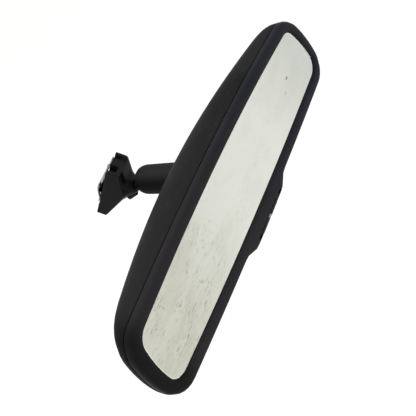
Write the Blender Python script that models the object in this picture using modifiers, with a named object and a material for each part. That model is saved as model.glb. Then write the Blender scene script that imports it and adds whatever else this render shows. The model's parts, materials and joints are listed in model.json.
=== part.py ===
"""Interior rear-view mirror on a double-ball arm, modelled as the pieces it comes apart into.

Row frame: the origin is the centre of the bare pad of the foot's windscreen face.  +X runs along
the mirror head, the reflecting glass faces -Y, and +Z is up as the mirror hangs in the car.
Lengths in this script are millimetres; `MM` turns them into metres where a mesh is made.

Three local frames are used.  The head frame has its origin in the middle of the visible glass and
keeps the row axes.  The foot frame has its origin on the row origin: x runs across the foot, +y
points out of the windscreen face and +z up the slope of the windscreen.  A ball frame has its
origin in a ball's centre and its +z towards the mouth of the arm tube.
"""
from math import asin, cos, pi, radians, sin

import bmesh
import bpy
from mathutils import Euler, Matrix, Vector

MM = 0.001
GAP = 0.3                        # air kept between neighbouring pieces
EXTRA = 4.0                      # how far a cutter runs past the surface it opens
MERGE = 0.00002                  # metres
ROUND_STEPS = 22
SCREW_STEPS = 12

# ---- foot ----
FOOT_HALF_WIDTH = 11.85
FOOT_TAIL_Z = -7.0
FOOT_HEAD_Z = 34.8
FOOT_CORNER_R = 2.5
FOOT_FLANK = [(-7.0, 6.8), (-0.5, 9.8), (6.5, 12.2), (14.0, 15.4), (18.5, 17.2), (25.0, 12.6),
              (31.8, 10.3), (34.8, 8.6)]      # height up the slope, depth of the foot's sides
FOOT_TURN = (radians(49.0), radians(10.2), radians(21.6))
FLANK_STEPS = 6
WAIST_HALF_WIDTH = 9.0                        # of the foot between its sides and its shoulder
WAIST_Z = (8.0, 28.0)
WAIST_DEPTH = 19.0                            # half way up, falling away by the slope to both ends
WAIST_SLOPE = 0.45
FOOT_BALL = Vector((0.0, -30.0, 31.0))      # foot frame
NECK_LEAN = radians(45.0)                     # stud axis, from the face normal down the slope
SHOULDER_REACH = 12.0                         # ball centre to the foot's shoulder
SHOULDER_HALF_WIDTH = 6.2
SHOULDER_UP = 6.0
SHOULDER_DOWN = 5.0
SEAT_DEPTH = 6.0                              # of the stud in the shoulder
BOSS_NEAR = Vector((0.0, -23.0, 14.7))
BOSS_END = Vector((0.0, -18.75, 7.4))
BOSS_R = 2.4
BOSS_BORE_R = 1.9
LOCK_SCREW_R = 1.55
LATCH_SLOT = (-8.8, -1.8, 6.5, 4.6)           # low x, high x, depth from the face, length
LUG_LOW_X = 8.2                               # the up-slope end stands higher from here on
LUG_STEP = 2.0
PLATE_Z = (3.0, 31.2)
PLATE_HALF_WIDTH = 10.2
PLATE_THICK = 0.8
PLATE_SEAT_DEPTH = 0.3                        # the face is this much lower under the leaf
PLATE_BULGE = 2.6
PLATE_FLAT = 4.0
RIVET_R = 1.0

# ---- ball joints and arm ----
BALL_R = 7.0
NECK_R = 3.2
LINER_R = (7.3, 8.0)
CUP_R = (8.3, 9.1)
MOUTH_ANGLE = radians(62)
VENT_ANGLE = radians(28)                      # hole in the back of each liner and cup
ARM_SPAN = 43.0                               # ball centre to ball centre
TUBE_R = 10.75
TUBE_BORE_R = 9.45
SEAT_R = (5.0, 9.1)
SEAT_REACH = 9.6
WIRE_R = 1.0
COIL_R = 7.3
COIL_TURNS = 4
COIL_STEPS = 10

# ---- head ----
GLASS_TOP_HALF = 118.1
GLASS_BOTTOM_HALF = 125.7
GLASS_TOP = 20.1
GLASS_BOTTOM = -21.7
TOP_BOW = 4.9
BOTTOM_BOW = 3.1
END_BOW = 2.7
TOP_CORNER_R = 8.3
BOTTOM_CORNER_R = 7.3
CORNER_STEPS = 4
TOP_STEPS = 12
BOTTOM_STEPS = 22
END_STEPS = 2
BORDER = 7.2                                  # nominal width of the bezel around the visible glass
END_SPREAD = 1.25                             # how much wider it is at the ends, top and bottom
TOP_SPREAD = 1.04
BOTTOM_SPREAD = 1.38
CHIN_DROP = 5.6
CHIN_FLAT_HALF = 23.0
CHIN_HALF = 36.0
FRONT_Y = -1.6
SEAM_Y = 4.0
CASE_DEPTH = 38.0                             # seam to crown in the middle
CASE_END_DEPTH = 15.6
CASE_REACH = 136.0
CASE_FULLNESS = 3.3
CASE_WALL = 2.0
CASE_COLLAR = 1.6                             # straight rim at the seam
CROWN_Z = 3.0
CASE_RINGS = (1.0, 0.985, 0.95, 0.89, 0.80, 0.67, 0.50, 0.30, 0.08)
ARM_Z = 8.0                                   # arm axis above the glass centre
HEAD_BALL_Y = 35.0
ARM_HOLE_R = 15.0

# ---- inside the head: y ranges from the glass plane, x and z from its centre ----
FRONT_GLASS_Y = (0.0, 2.0)
REAR_GLASS_Y = (2.3, 4.3)
PAD_Y = (4.6, 5.6)
CARRIER_Y = (5.9, 7.5)
CARRIER_GROW = 2.8
POST_TOP_Y = 19.7
POST_R = 4.0
FLANGE_Y = (20.0, 23.0)
FLANGE_HALF = (22.5, 12.5)
FLANGE_HOLES = [(x, ARM_Z + z) for x in (-17.5, 17.5) for z in (-7.5, 7.5)]
CASE_POSTS = [(x, z) for x in (-88.0, 88.0) for z in (10.0, -12.0)]
CASE_POST_Y = (7.8, 29.4)
CASE_POST_R = 3.4
SCREW_BORE_R = 1.55
SCREW_R = 1.2
BOARD_Y = (9.0, 10.6)
BOARD_CENTRE = (52.0, 0.0)
BOARD_HALF = (28.0, 16.5)
BOARD_HOLES = [(29.0, 12.0), (74.0, -11.0)]
BOARD_POST_R = 2.6
BOARD_BORE_R = 1.3
BOARD_SCREW_R = 1.0
SENSOR_AT = (58.0, 9.0)
SENSOR_R = 2.2
WINDOW_AT = (68.0, 3.0)
WINDOW_R = 2.6
WINDOW_Y = (13.2, 36.0)
SOCKET_AT = (40.0, 3.0)
SOCKET_HALF = (9.0, 4.6)
SOCKET_Y = (27.5, 41.0)
SOCKET_WALL = 1.3
SOCKET_FLOOR = 2.4
PIN_HALF = 0.5
PIN_Y = (10.9, 34.6)
PIN_PITCH = 3.6
PIN_COUNT = 4

# ---- chin controls ----
BUTTON_X = (1.9, 13.1)
NOTCH_HALF = 13.4
NOTCH_Y = (-5.0, 3.0)
NOTCH_TOP = -36.8
BUTTON_Y = (-1.3, 2.7)
BUTTON_Z = (-40.1, -37.7)
STEM_HALF = 1.4
STEM_TOP = -32.2
LENS_HALF = 1.55
PRY_X = (17.8, 24.2)
PRY_TOP = -37.4
PRY_Y = (-5.0, 1.6)
SWITCH_BOARD_Z = (-28.8, -27.8)
SWITCH_BOARD_HALF = 15.0
SWITCH_BOARD_Y = (0.2, 5.5)
SWITCH_Z = (-31.3, -29.1)
SWITCH_HALF = 2.2
SWITCH_Y = (0.3, 3.5)
CLIP_X = (-72.0, 72.0)
CLIP_HALF = 3.0
CLIP_GROW = (3.5, 4.5)
CLIP_Y = (1.2, 9.0)

FINISHES = {
    "case_plastic": ((0.022, 0.023, 0.022), 0.55, 0.0),
    "bezel_plastic": ((0.026, 0.026, 0.031), 0.50, 0.0),
    "mirror_glass": ((0.62, 0.64, 0.58), 0.03, 1.0),
    "clear_glass": ((0.55, 0.60, 0.57), 0.05, 0.0),
    "foam": ((0.05, 0.05, 0.05), 0.95, 0.0),
    "inner_plastic": ((0.04, 0.04, 0.04), 0.6, 0.0),
    "circuit_board": ((0.02, 0.11, 0.05), 0.45, 0.0),
    "component": ((0.03, 0.03, 0.03), 0.4, 0.0),
    "button_rubber": ((0.03, 0.03, 0.03), 0.7, 0.0),
    "lens": ((0.75, 0.77, 0.72), 0.15, 0.0),
    "zinc_steel": ((0.55, 0.55, 0.53), 0.35, 1.0),
    "stainless": ((0.60, 0.60, 0.58), 0.28, 1.0),
    "arm_paint": ((0.020, 0.020, 0.021), 0.45, 0.0),
    "foot_black": ((0.021, 0.021, 0.021), 0.5, 0.0),
    "ball_steel": ((0.35, 0.35, 0.35), 0.3, 1.0),
    "nylon": ((0.55, 0.54, 0.50), 0.5, 0.0),
    "contact": ((0.70, 0.60, 0.35), 0.3, 1.0),
}


def clear_scene():
    for old in list(bpy.data.objects):
        bpy.data.objects.remove(old, do_unlink=True)


def make_collection(name):
    group = bpy.data.collections.new(name)
    bpy.context.scene.collection.children.link(group)
    return group


def make_materials():
    made = {}
    for name, (colour, roughness, metallic) in FINISHES.items():
        material = bpy.data.materials.new(name)
        material.use_nodes = True
        shader = material.node_tree.nodes["Principled BSDF"]
        shader.inputs["Base Color"].default_value = (*colour, 1.0)
        shader.inputs["Roughness"].default_value = roughness
        shader.inputs["Metallic"].default_value = metallic
        made[name] = material
    return made


clear_scene()
MIRROR = make_collection("interior_rearview_mirror")
CUTTERS = make_collection("cutters")
MATERIALS = make_materials()


def make_frame(name, parent=None, place=(0, 0, 0), turn=(0, 0, 0)):
    """An empty that carries the pieces of one frame."""
    frame = bpy.data.objects.new(name, None)
    frame.empty_display_size = 0.01
    frame.parent = parent
    frame.location = Vector(place) * MM
    frame.rotation_euler = Euler(turn, "XYZ")
    MIRROR.objects.link(frame)
    return frame


def add_piece(name, mesh, finish, frame, turn=(0, 0, 0), place=(0, 0, 0)):
    """A visible sub-part of the mirror, or a cutter when finish is None."""
    piece = bpy.data.objects.new(name, mesh)
    piece.parent = frame
    piece.location = Vector(place) * MM
    piece.rotation_euler = Euler(turn, "XYZ")
    if finish is None:
        CUTTERS.objects.link(piece)
        piece.hide_render = True
        piece.display_type = "WIRE"
    else:
        MIRROR.objects.link(piece)
        mesh.materials.append(MATERIALS[finish])
    return piece


def mesh_from(name, bm, smooth=True):
    """Turn a bmesh in millimetres into a mesh in metres."""
    bmesh.ops.scale(bm, vec=(MM, MM, MM), verts=bm.verts)
    mesh = bpy.data.meshes.new(name)
    bm.to_mesh(mesh)
    bm.free()
    if smooth:
        mesh.shade_smooth()
        mesh.set_sharp_from_angle(angle=radians(35))
    return mesh


def boolean(piece, tool, operation="DIFFERENCE"):
    change = piece.modifiers.new(f"{operation.lower()}_{tool.name}"[:60], "BOOLEAN")
    change.operation = operation
    change.solver = "EXACT"
    change.object = tool
    return piece


# ---- shapes ----
def box_mesh(name, low, high, bevel=0.0):
    bm = bmesh.new()
    bmesh.ops.create_cube(bm, size=1.0)
    low, high = Vector(low), Vector(high)
    bmesh.ops.scale(bm, vec=high - low, verts=bm.verts)
    bmesh.ops.translate(bm, vec=(low + high) / 2, verts=bm.verts)
    if bevel:
        bmesh.ops.bevel(bm, geom=bm.edges[:], offset=bevel, segments=1, affect="EDGES")
    return mesh_from(name, bm, smooth=False)


def box(name, low, high, finish, frame, bevel=0.0):
    return add_piece(name, box_mesh(name, low, high, bevel), finish, frame)


def rod(name, start, end, radius, finish, frame, steps=ROUND_STEPS, end_radius=None):
    """A cylinder or cone between two points of a frame."""
    start, end = Vector(start), Vector(end)
    bm = bmesh.new()
    bmesh.ops.create_cone(bm, cap_ends=True, segments=steps, radius1=radius,
                          radius2=radius if end_radius is None else end_radius,
                          depth=(end - start).length)
    aim = (end - start).to_track_quat("Z", "Y").to_matrix().to_4x4()
    bmesh.ops.transform(bm, matrix=Matrix.Translation((start + end) / 2) @ aim, verts=bm.verts)
    return add_piece(name, mesh_from(name, bm), finish, frame)


def lathe(name, profile, finish, frame, closed=False, turn=(0, 0, 0), place=(0, 0, 0),
          steps=ROUND_STEPS):
    """A turned piece: (radius, height) points that run down the outer side."""
    bm = bmesh.new()
    points = [bm.verts.new((radius, 0.0, height)) for radius, height in profile]
    for start, end in zip(points, points[1:]):
        bm.edges.new((start, end))
    if closed:
        bm.edges.new((points[-1], points[0]))
    piece = add_piece(name, mesh_from(name, bm, smooth=False), finish, frame, turn, place)
    spin = piece.modifiers.new("turn", "SCREW")
    spin.axis = "Z"
    spin.steps = steps
    spin.render_steps = steps
    spin.use_merge_vertices = True
    spin.merge_threshold = MERGE
    return piece


def plate(name, outline, y_range, finish, frame, holes=()):
    """A flat piece that lies in the head's x-z plane; holes are (x, z, radius)."""
    curve = bpy.data.curves.new(name, "CURVE")
    curve.dimensions = "2D"
    curve.fill_mode = "BOTH"
    curve.extrude = (y_range[1] - y_range[0]) / 2 * MM
    rings = [outline]
    for x, z, radius in holes:
        rings.append([(x + radius * cos(2 * pi * k / SCREW_STEPS),
                       z + radius * sin(2 * pi * k / SCREW_STEPS)) for k in range(SCREW_STEPS)])
    for ring in rings:
        spline = curve.splines.new("POLY")
        spline.points.add(len(ring) - 1)
        for point, (x, z) in zip(spline.points, ring):
            point.co = (x * MM, z * MM, 0.0, 1.0)
        spline.use_cyclic_u = True
    drawn = bpy.data.objects.new(name + "_drawn", curve)
    MIRROR.objects.link(drawn)
    drawn.matrix_world = (Matrix.Translation((0, sum(y_range) / 2 * MM, 0))
                          @ Matrix.Rotation(radians(90), 4, "X"))
    return mesh_of_curve(name, drawn, finish, frame)


def mesh_of_curve(name, drawn, finish, frame):
    """Replace a drawn curve by a closed mesh piece in the same place."""
    bpy.context.view_layer.update()
    shape = bpy.data.meshes.new_from_object(drawn.evaluated_get(
        bpy.context.evaluated_depsgraph_get()))
    bm = bmesh.new()
    bm.from_mesh(shape)
    bmesh.ops.transform(bm, matrix=drawn.matrix_world, verts=bm.verts)
    bmesh.ops.remove_doubles(bm, verts=bm.verts, dist=MERGE / 4)
    bmesh.ops.recalc_face_normals(bm, faces=bm.faces)
    bm.to_mesh(shape)
    bm.free()
    shape.materials.clear()
    curve = drawn.data
    bpy.data.objects.remove(drawn, do_unlink=True)
    bpy.data.curves.remove(curve)
    shape.shade_smooth()
    shape.set_sharp_from_angle(angle=radians(35))
    return add_piece(name, shape, finish, frame)


def loft(name, rings, joined=False, cap_start=False, cap_end=False):
    """Skin rings of equal length; `joined` closes the last ring back onto the first."""
    bm = bmesh.new()
    rows = [[bm.verts.new(point) for point in ring] for ring in rings]
    pairs = list(zip(rows, rows[1:])) + ([(rows[-1], rows[0])] if joined else [])
    for row, following in pairs:
        for k in range(len(row)):
            n = (k + 1) % len(row)
            bm.faces.new((row[k], row[n], following[n], following[k]))
    if cap_start:
        bm.faces.new(list(reversed(rows[0])))
    if cap_end:
        bm.faces.new(rows[-1])
    bm.normal_update()
    if joined or (cap_start and cap_end):
        bmesh.ops.recalc_face_normals(bm, faces=bm.faces)
    return mesh_from(name, bm)


# ---- head outline ----
def clamp(value, low=0.0, high=1.0):
    return max(low, min(high, value))


def bowed(x, z, grow, chin):
    """Bend a point of the straight-sided outline into the head's bowed one."""
    level = clamp((z - GLASS_BOTTOM) / (GLASS_TOP - GLASS_BOTTOM))
    half = GLASS_BOTTOM_HALF + (GLASS_TOP_HALF - GLASS_BOTTOM_HALF) * level + grow * END_SPREAD
    across = clamp(x / half, -1.0, 1.0)
    crown = 1.0 - across * across
    ramp = clamp((CHIN_HALF - abs(x)) / (CHIN_HALF - CHIN_FLAT_HALF))
    z += level * TOP_BOW * crown - (1.0 - level) * BOTTOM_BOW * crown
    z -= chin * CHIN_DROP * (1.0 - level) * ramp * ramp * (3.0 - 2.0 * ramp)
    x += abs(across) ** 3 * END_BOW * 4.0 * level * (1.0 - level) * (1.0 if across > 0 else -1.0)
    return x, z


def head_outline(grow, chin=0.0):
    """The mirror's outline, `grow` outside the visible glass, as (x, z) from the upper left."""
    corners = [(-GLASS_TOP_HALF, GLASS_TOP, TOP_CORNER_R), (GLASS_TOP_HALF, GLASS_TOP, TOP_CORNER_R),
               (GLASS_BOTTOM_HALF, GLASS_BOTTOM, BOTTOM_CORNER_R),
               (-GLASS_BOTTOM_HALF, GLASS_BOTTOM, BOTTOM_CORNER_R)]
    corners = [(x + grow * END_SPREAD * (1 if x > 0 else -1),
                z + grow * (TOP_SPREAD if z > 0 else -BOTTOM_SPREAD), r + grow)
               for x, z, r in corners]
    arcs = []
    for k, (x, z, radius) in enumerate(corners):
        here = Vector((x, z))
        before = (Vector(corners[k - 1][:2]) - here).normalized()
        after = (Vector(corners[(k + 1) % 4][:2]) - here).normalized()
        half_angle = before.angle(after) / 2
        centre = here + (before + after).normalized() * (radius / sin(half_angle))
        first = here + before * (radius / sin(half_angle)) * cos(half_angle) - centre
        last = here + after * (radius / sin(half_angle)) * cos(half_angle) - centre
        sweep = first.angle_signed(last)
        arcs.append([centre + Matrix.Rotation(-sweep * s / CORNER_STEPS, 2) @ first
                     for s in range(CORNER_STEPS + 1)])
    points = []
    for arc, following, steps in zip(arcs, arcs[1:] + arcs[:1],
                                     (TOP_STEPS, END_STEPS, BOTTOM_STEPS, END_STEPS)):
        points += arc
        points += [arc[-1].lerp(following[0], s / steps) for s in range(1, steps)]
    return [bowed(x, z, grow, chin) for x, z in points]


def edge_z(x, grow, top):
    """Height of the head's top or bottom edge at x."""
    z = GLASS_TOP + grow * TOP_SPREAD if top else GLASS_BOTTOM - grow * BOTTOM_SPREAD
    return bowed(x, z, grow, 0.0)[1]


# ---- head shells ----
def make_bezel(frame):
    section = [(0.0, -GAP, 0.0), (0.0, -1.1, 0.0), (0.7, FRONT_Y, 0.0), (4.6, FRONT_Y, 0.75),
               (6.2, -0.9, 1.0), (7.0, 0.9, 1.0), (BORDER, SEAM_Y, 1.0),
               (BORDER - 1.6, SEAM_Y, 1.0), (BORDER - 1.6, -GAP, 1.0)]
    rings = [[(x, y, z) for x, z in head_outline(grow, chin)] for grow, y, chin in section]
    bezel = add_piece("front_bezel", loft("front_bezel", rings, joined=True), "bezel_plastic", frame)
    notch = box("button_notch", (-NOTCH_HALF, NOTCH_Y[0], BUTTON_Z[0] - EXTRA),
                (NOTCH_HALF, NOTCH_Y[1], NOTCH_TOP), None, frame)
    boolean(bezel, notch)
    for side in (-1, 1):
        x_low, x_high = sorted((side * PRY_X[0], side * PRY_X[1]))
        slot = box(f"pry_slot_{side}", (x_low, PRY_Y[0], BUTTON_Z[0] - EXTRA),
                   (x_high, PRY_Y[1], PRY_TOP), None, frame)
        boolean(bezel, slot)
    for x in CLIP_X:
        for top in (True, False):
            add_clip(bezel, x, top, frame)
    return bezel


def add_clip(bezel, x, top, frame):
    """A snap tongue that reaches from the bezel's wall into the case."""
    sign = 1 if top else -1
    inner, outer = edge_z(x, CLIP_GROW[0], top), edge_z(x, CLIP_GROW[1], top)
    root = edge_z(x, BORDER - 0.8, top)
    name = f"clip_{'top' if top else 'bottom'}_{int(x)}"
    tongue = box(name, (x - CLIP_HALF, CLIP_Y[0], min(inner, outer)),
                 (x + CLIP_HALF, CLIP_Y[1], max(inner, outer)), None, frame)
    bridge = box(name + "_root", (x - CLIP_HALF + 0.4, CLIP_Y[0] + 0.3, min(inner + sign * 0.2, root)),
                 (x + CLIP_HALF - 0.4, SEAM_Y - 1.2, max(inner + sign * 0.2, root)), None, frame)
    boolean(tongue, bridge, "UNION")
    boolean(bezel, tongue, "UNION")


def case_point(x0, z0, shrink):
    """A point of the case's outer surface, from a point of its rim."""
    x = x0 * shrink
    z = CROWN_Z + (z0 - CROWN_Z) * shrink
    rise = (1.0 - shrink ** CASE_FULLNESS) ** (1.0 / CASE_FULLNESS)
    depth = CASE_END_DEPTH + (CASE_DEPTH - CASE_END_DEPTH) * (1.0 - (x / CASE_REACH) ** 2)
    return x, SEAM_Y + GAP + CASE_COLLAR + (depth - CASE_COLLAR) * rise, z


def make_case(frame):
    rings = [[(x, SEAM_Y + GAP, z) for x, z in head_outline(BORDER, 1.0)]]
    for shrink in CASE_RINGS:
        rise = (1.0 - shrink ** CASE_FULLNESS) ** (1.0 / CASE_FULLNESS)
        chin = clamp(1.0 - rise) ** 1.5
        rings.append([case_point(x, z, shrink) for x, z in head_outline(BORDER, chin)])
    case = add_piece("rear_housing", loft("rear_housing", rings, cap_end=True), "case_plastic", frame)
    wall = case.modifiers.new("wall", "SOLIDIFY")
    wall.thickness = CASE_WALL * MM
    wall.offset = -1.0
    for k, (x, z) in enumerate(CASE_POSTS, 1):
        post = rod(f"case_post_{k}", (x, CASE_POST_Y[0], z), (x, CASE_POST_Y[1], z), CASE_POST_R,
                   None, frame, SCREW_STEPS)
        boolean(case, post, "UNION")
        bore = rod(f"case_bore_{k}", (x, CASE_POST_Y[0] - EXTRA, z), (x, 19.0, z), SCREW_BORE_R,
                   None, frame, SCREW_STEPS)
        boolean(case, bore)
    x, z = WINDOW_AT
    openings = [
        rod("arm_opening", (0, 30, ARM_Z), (0, 50, ARM_Z), ARM_HOLE_R, None, frame, 32),
        rod("window_opening", (x, 28, z), (x, 45, z), WINDOW_R + 0.4, None, frame, SCREW_STEPS),
        box("socket_opening", (SOCKET_AT[0] - SOCKET_HALF[0] - 0.4, 30, SOCKET_AT[1] - SOCKET_HALF[1] - 0.4),
            (SOCKET_AT[0] + SOCKET_HALF[0] + 0.4, 45, SOCKET_AT[1] + SOCKET_HALF[1] + 0.4), None, frame),
    ]
    for opening in openings:
        boolean(case, opening)


# ---- glass stack and carrier ----
def make_glass_stack(frame):
    plate("front_glass", head_outline(1.4), FRONT_GLASS_Y, "mirror_glass", frame)
    plate("rear_glass", head_outline(0.6), REAR_GLASS_Y, "clear_glass", frame)
    head_clearance = [(x, z, 3.2) for x, z in CASE_POSTS]
    plate("foam_pad", head_outline(-0.6), PAD_Y, "foam", frame,
          head_clearance + [(*SENSOR_AT, SENSOR_R + 0.6)])


def make_carrier(frame):
    holes = [(x, z, SCREW_BORE_R + 0.1) for x, z in CASE_POSTS]
    holes.append((*SENSOR_AT, SENSOR_R + 0.5))
    carrier = plate("carrier_plate", head_outline(CARRIER_GROW), CARRIER_Y, "inner_plastic", frame, holes)
    posts = [(x, z, POST_R, POST_TOP_Y, SCREW_BORE_R, 9.0) for x, z in FLANGE_HOLES]
    posts += [(x, z, BOARD_POST_R, BOARD_Y[0] - GAP, BOARD_BORE_R, 4.0) for x, z in BOARD_HOLES]
    for k, (x, z, radius, top, bore_radius, bottom) in enumerate(posts, 1):
        boolean(carrier, rod(f"carrier_post_{k}", (x, 6.6, z), (x, top, z), radius, None, frame,
                             SCREW_STEPS), "UNION")
        boolean(carrier, rod(f"carrier_bore_{k}", (x, bottom, z), (x, top + EXTRA, z), bore_radius,
                             None, frame, SCREW_STEPS))


def make_screw(name, at, seat_y, tip_y, shank_r, head_r, head_height, frame, socket=True):
    """A pan-head screw along y, its head towards `seat_y`'s outer side."""
    x, z = at
    way = 1 if tip_y > seat_y else -1
    length = abs(tip_y - seat_y)
    profile = [(0.0, head_height), (head_r * 0.8, head_height), (head_r, head_height * 0.5),
               (head_r, 0.0), (shank_r, 0.0), (shank_r, -length + shank_r * 0.6),
               (shank_r * 0.5, -length), (0.0, -length)]
    screw = lathe(name, profile, "zinc_steel", frame, turn=(radians(90 * way), 0, 0),
                  place=(x, seat_y, z), steps=SCREW_STEPS)
    if socket:
        half = head_r * 0.28
        drive = box(name + "_drive", (-half, -half, head_height * 0.45), (half, half, head_height + 1), None, screw)
        boolean(screw, drive)
    return screw


def make_case_screws(frame):
    for k, at in enumerate(CASE_POSTS, 1):
        make_screw(f"case_screw_{k}", at, CARRIER_Y[0] - 0.1, 16.0, SCREW_R, 2.7, 1.0, frame)


def make_board(frame):
    cx, cz = BOARD_CENTRE
    hx, hz = BOARD_HALF
    outline = [(cx - hx, cz + hz), (cx + hx, cz + hz), (cx + hx, cz - hz), (cx - hx, cz - hz)]
    plate("circuit_board", outline, BOARD_Y, "circuit_board", frame,
          [(x, z, BOARD_BORE_R + 0.1) for x, z in BOARD_HOLES])
    for k, at in enumerate(BOARD_HOLES, 1):
        make_screw(f"board_screw_{k}", at, BOARD_Y[1] + GAP, 6.2, BOARD_SCREW_R, 2.1, 1.4, frame)
    back = BOARD_Y[1] + GAP
    box("control_chip", (52, back, -9), (62, back + 1.5, 1), "component", frame, 0.3)
    rod("smoothing_capacitor", (30, back, -8), (30, back + 5.6, -8), 3.2, "zinc_steel", frame, 16)
    x, z = SENSOR_AT
    rod("glare_sensor", (x, REAR_GLASS_Y[1] + GAP, z), (x, BOARD_Y[0] - GAP, z), SENSOR_R, "lens", frame, 16)
    x, z = WINDOW_AT
    box("ambient_sensor", (x - 1.6, back, z - 1.6), (x + 1.6, WINDOW_Y[0] - GAP, z + 1.6), "component", frame, 0.2)
    rod("ambient_window", (x, WINDOW_Y[0], z), (x, WINDOW_Y[1], z), WINDOW_R, "lens", frame, 16)


def make_socket(frame):
    """The open connector shroud in the case's back, with its contact pins."""
    x, z = SOCKET_AT
    hx, hz = SOCKET_HALF
    socket = box("wiring_socket", (x - hx, SOCKET_Y[0], z - hz), (x + hx, SOCKET_Y[1], z + hz),
                 "inner_plastic", frame)
    cavity = box("socket_cavity", (x - hx + SOCKET_WALL, SOCKET_Y[0] + SOCKET_FLOOR, z - hz + SOCKET_WALL),
                 (x + hx - SOCKET_WALL, SOCKET_Y[1] + EXTRA, z + hz - SOCKET_WALL), None, frame)
    boolean(socket, cavity)
    reach = PIN_HALF + GAP
    for k in range(PIN_COUNT):
        pin_x = x + (k - (PIN_COUNT - 1) / 2) * PIN_PITCH
        hole = box(f"pin_hole_{k + 1}", (pin_x - reach, SOCKET_Y[0] - EXTRA, z - reach),
                   (pin_x + reach, SOCKET_Y[0] + SOCKET_FLOOR + EXTRA, z + reach), None, frame)
        boolean(socket, hole)
        box(f"socket_pin_{k + 1}", (pin_x - PIN_HALF, PIN_Y[0], z - PIN_HALF),
            (pin_x + PIN_HALF, PIN_Y[1], z + PIN_HALF), "contact", frame, 0.15)


# ---- chin controls ----
def make_button(name, side, frame):
    """A press button that slides up inside the chin, with a stem to its switch."""
    x_low, x_high = sorted((side * BUTTON_X[0], side * BUTTON_X[1]))
    middle = (x_low + x_high) / 2
    centre = Vector((middle, (BUTTON_Y[0] + BUTTON_Y[1]) / 2, BUTTON_Z[1]))
    low = Vector((x_low, BUTTON_Y[0], BUTTON_Z[0])) - centre
    high = Vector((x_high, BUTTON_Y[1], BUTTON_Z[1])) - centre
    button = add_piece(name, box_mesh(name, low, high, 0.4), "button_rubber", frame, place=centre)
    stem = box(name + "_stem", (-STEM_HALF, -0.4, -1.0), (STEM_HALF, 1.8, STEM_TOP - BUTTON_Z[1]), None, button)
    boolean(button, stem, "UNION")
    box(name.replace("button", "switch"), (middle - SWITCH_HALF, SWITCH_Y[0], SWITCH_Z[0]),
        (middle + SWITCH_HALF, SWITCH_Y[1], SWITCH_Z[1]), "component", frame, 0.2)


def make_controls(frame):
    make_button("button_left", -1, frame)
    make_button("button_right", 1, frame)
    box("indicator_lens", (-LENS_HALF, BUTTON_Y[0], BUTTON_Z[0] + 0.3), (LENS_HALF, BUTTON_Y[1], BUTTON_Z[1]),
        "lens", frame, 0.3)
    box("indicator_lamp", (-0.9, 0.6, SWITCH_Z[0] + 0.9), (0.9, 2.2, SWITCH_Z[1]), "lens", frame, 0.2)
    box("switch_board", (-SWITCH_BOARD_HALF, SWITCH_BOARD_Y[0], SWITCH_BOARD_Z[0]),
        (SWITCH_BOARD_HALF, SWITCH_BOARD_Y[1], SWITCH_BOARD_Z[1]), "circuit_board", frame)


# ---- ball joints ----
def arc(radius, start, end, steps):
    """(radius, height) points on a sphere, between angles from the ball frame's +z."""
    angles = [start + (end - start) * s / steps for s in range(steps + 1)]
    return [(radius * sin(a), radius * cos(a)) for a in angles]


def zone(name, radii, finish, frame, turn):
    """A spherical bearing shell, open at the mouth and vented at the back."""
    inner, outer = radii
    back = pi - VENT_ANGLE
    profile = arc(outer, MOUTH_ANGLE, back, 5) + arc(inner, back, MOUTH_ANGLE, 5)
    return lathe(name, profile, finish, frame, closed=True, turn=turn)


def ball_profile(length):
    """A ball at the origin on a neck that reaches `length` up the z axis."""
    points = [(0.0, length), (NECK_R, length)] + arc(BALL_R, asin(NECK_R / BALL_R), pi, 8)
    points[-1] = (0.0, -BALL_R)
    return points


def make_joint(end, frame, turn):
    """Liner, cup and spring seat of one ball joint."""
    zone(f"{end}_ball_liner", LINER_R, "nylon", frame, turn)
    zone(f"{end}_ball_cup", CUP_R, "inner_plastic", frame, turn)
    seat = [(7.95, -5.35), (SEAT_R[1], -5.35), (SEAT_R[1], -SEAT_REACH), (SEAT_R[0], -SEAT_REACH),
            (SEAT_R[0], -8.15)]
    lathe(f"{end}_spring_seat", seat, "zinc_steel", frame, closed=True, turn=turn)


def make_tube(frame):
    """The arm tube, with both ends drawn in over the ball cups."""
    outer = [(8.2, 6.2), (9.0, 6.0), (9.8, 5.0), (10.45, 3.0), (TUBE_R, 0.2)]
    inner = [(TUBE_BORE_R, 1.0), (8.95, 3.3), (8.2, 4.75)]
    head_outer = [(r, -ARM_SPAN - z) for r, z in reversed(outer)]
    head_inner = [(r, -ARM_SPAN - z) for r, z in reversed(inner)]
    profile = outer + head_outer + head_inner + inner
    lathe("arm_tube", profile, "arm_paint", frame, closed=True, turn=(radians(-90), 0, 0))


def make_spring(frame):
    """The pressure spring between the two seats, drawn as a coil along y."""
    reach = SEAT_REACH + GAP + WIRE_R
    curve = bpy.data.curves.new("pressure_spring", "CURVE")
    curve.dimensions = "3D"
    curve.bevel_depth = WIRE_R * MM
    curve.bevel_resolution = 1
    curve.use_fill_caps = True
    count = COIL_TURNS * COIL_STEPS + 1
    spline = curve.splines.new("POLY")
    spline.points.add(count - 1)
    for k, point in enumerate(spline.points):
        turn = 2 * pi * k / COIL_STEPS
        y = -reach - (ARM_SPAN - 2 * reach) * k / (count - 1)
        point.co = (COIL_R * cos(turn) * MM, y * MM, COIL_R * sin(turn) * MM, 1.0)
    coil = bpy.data.objects.new("pressure_spring_drawn", curve)
    MIRROR.objects.link(coil)
    mesh_of_curve("pressure_spring", coil, "zinc_steel", frame)


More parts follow.
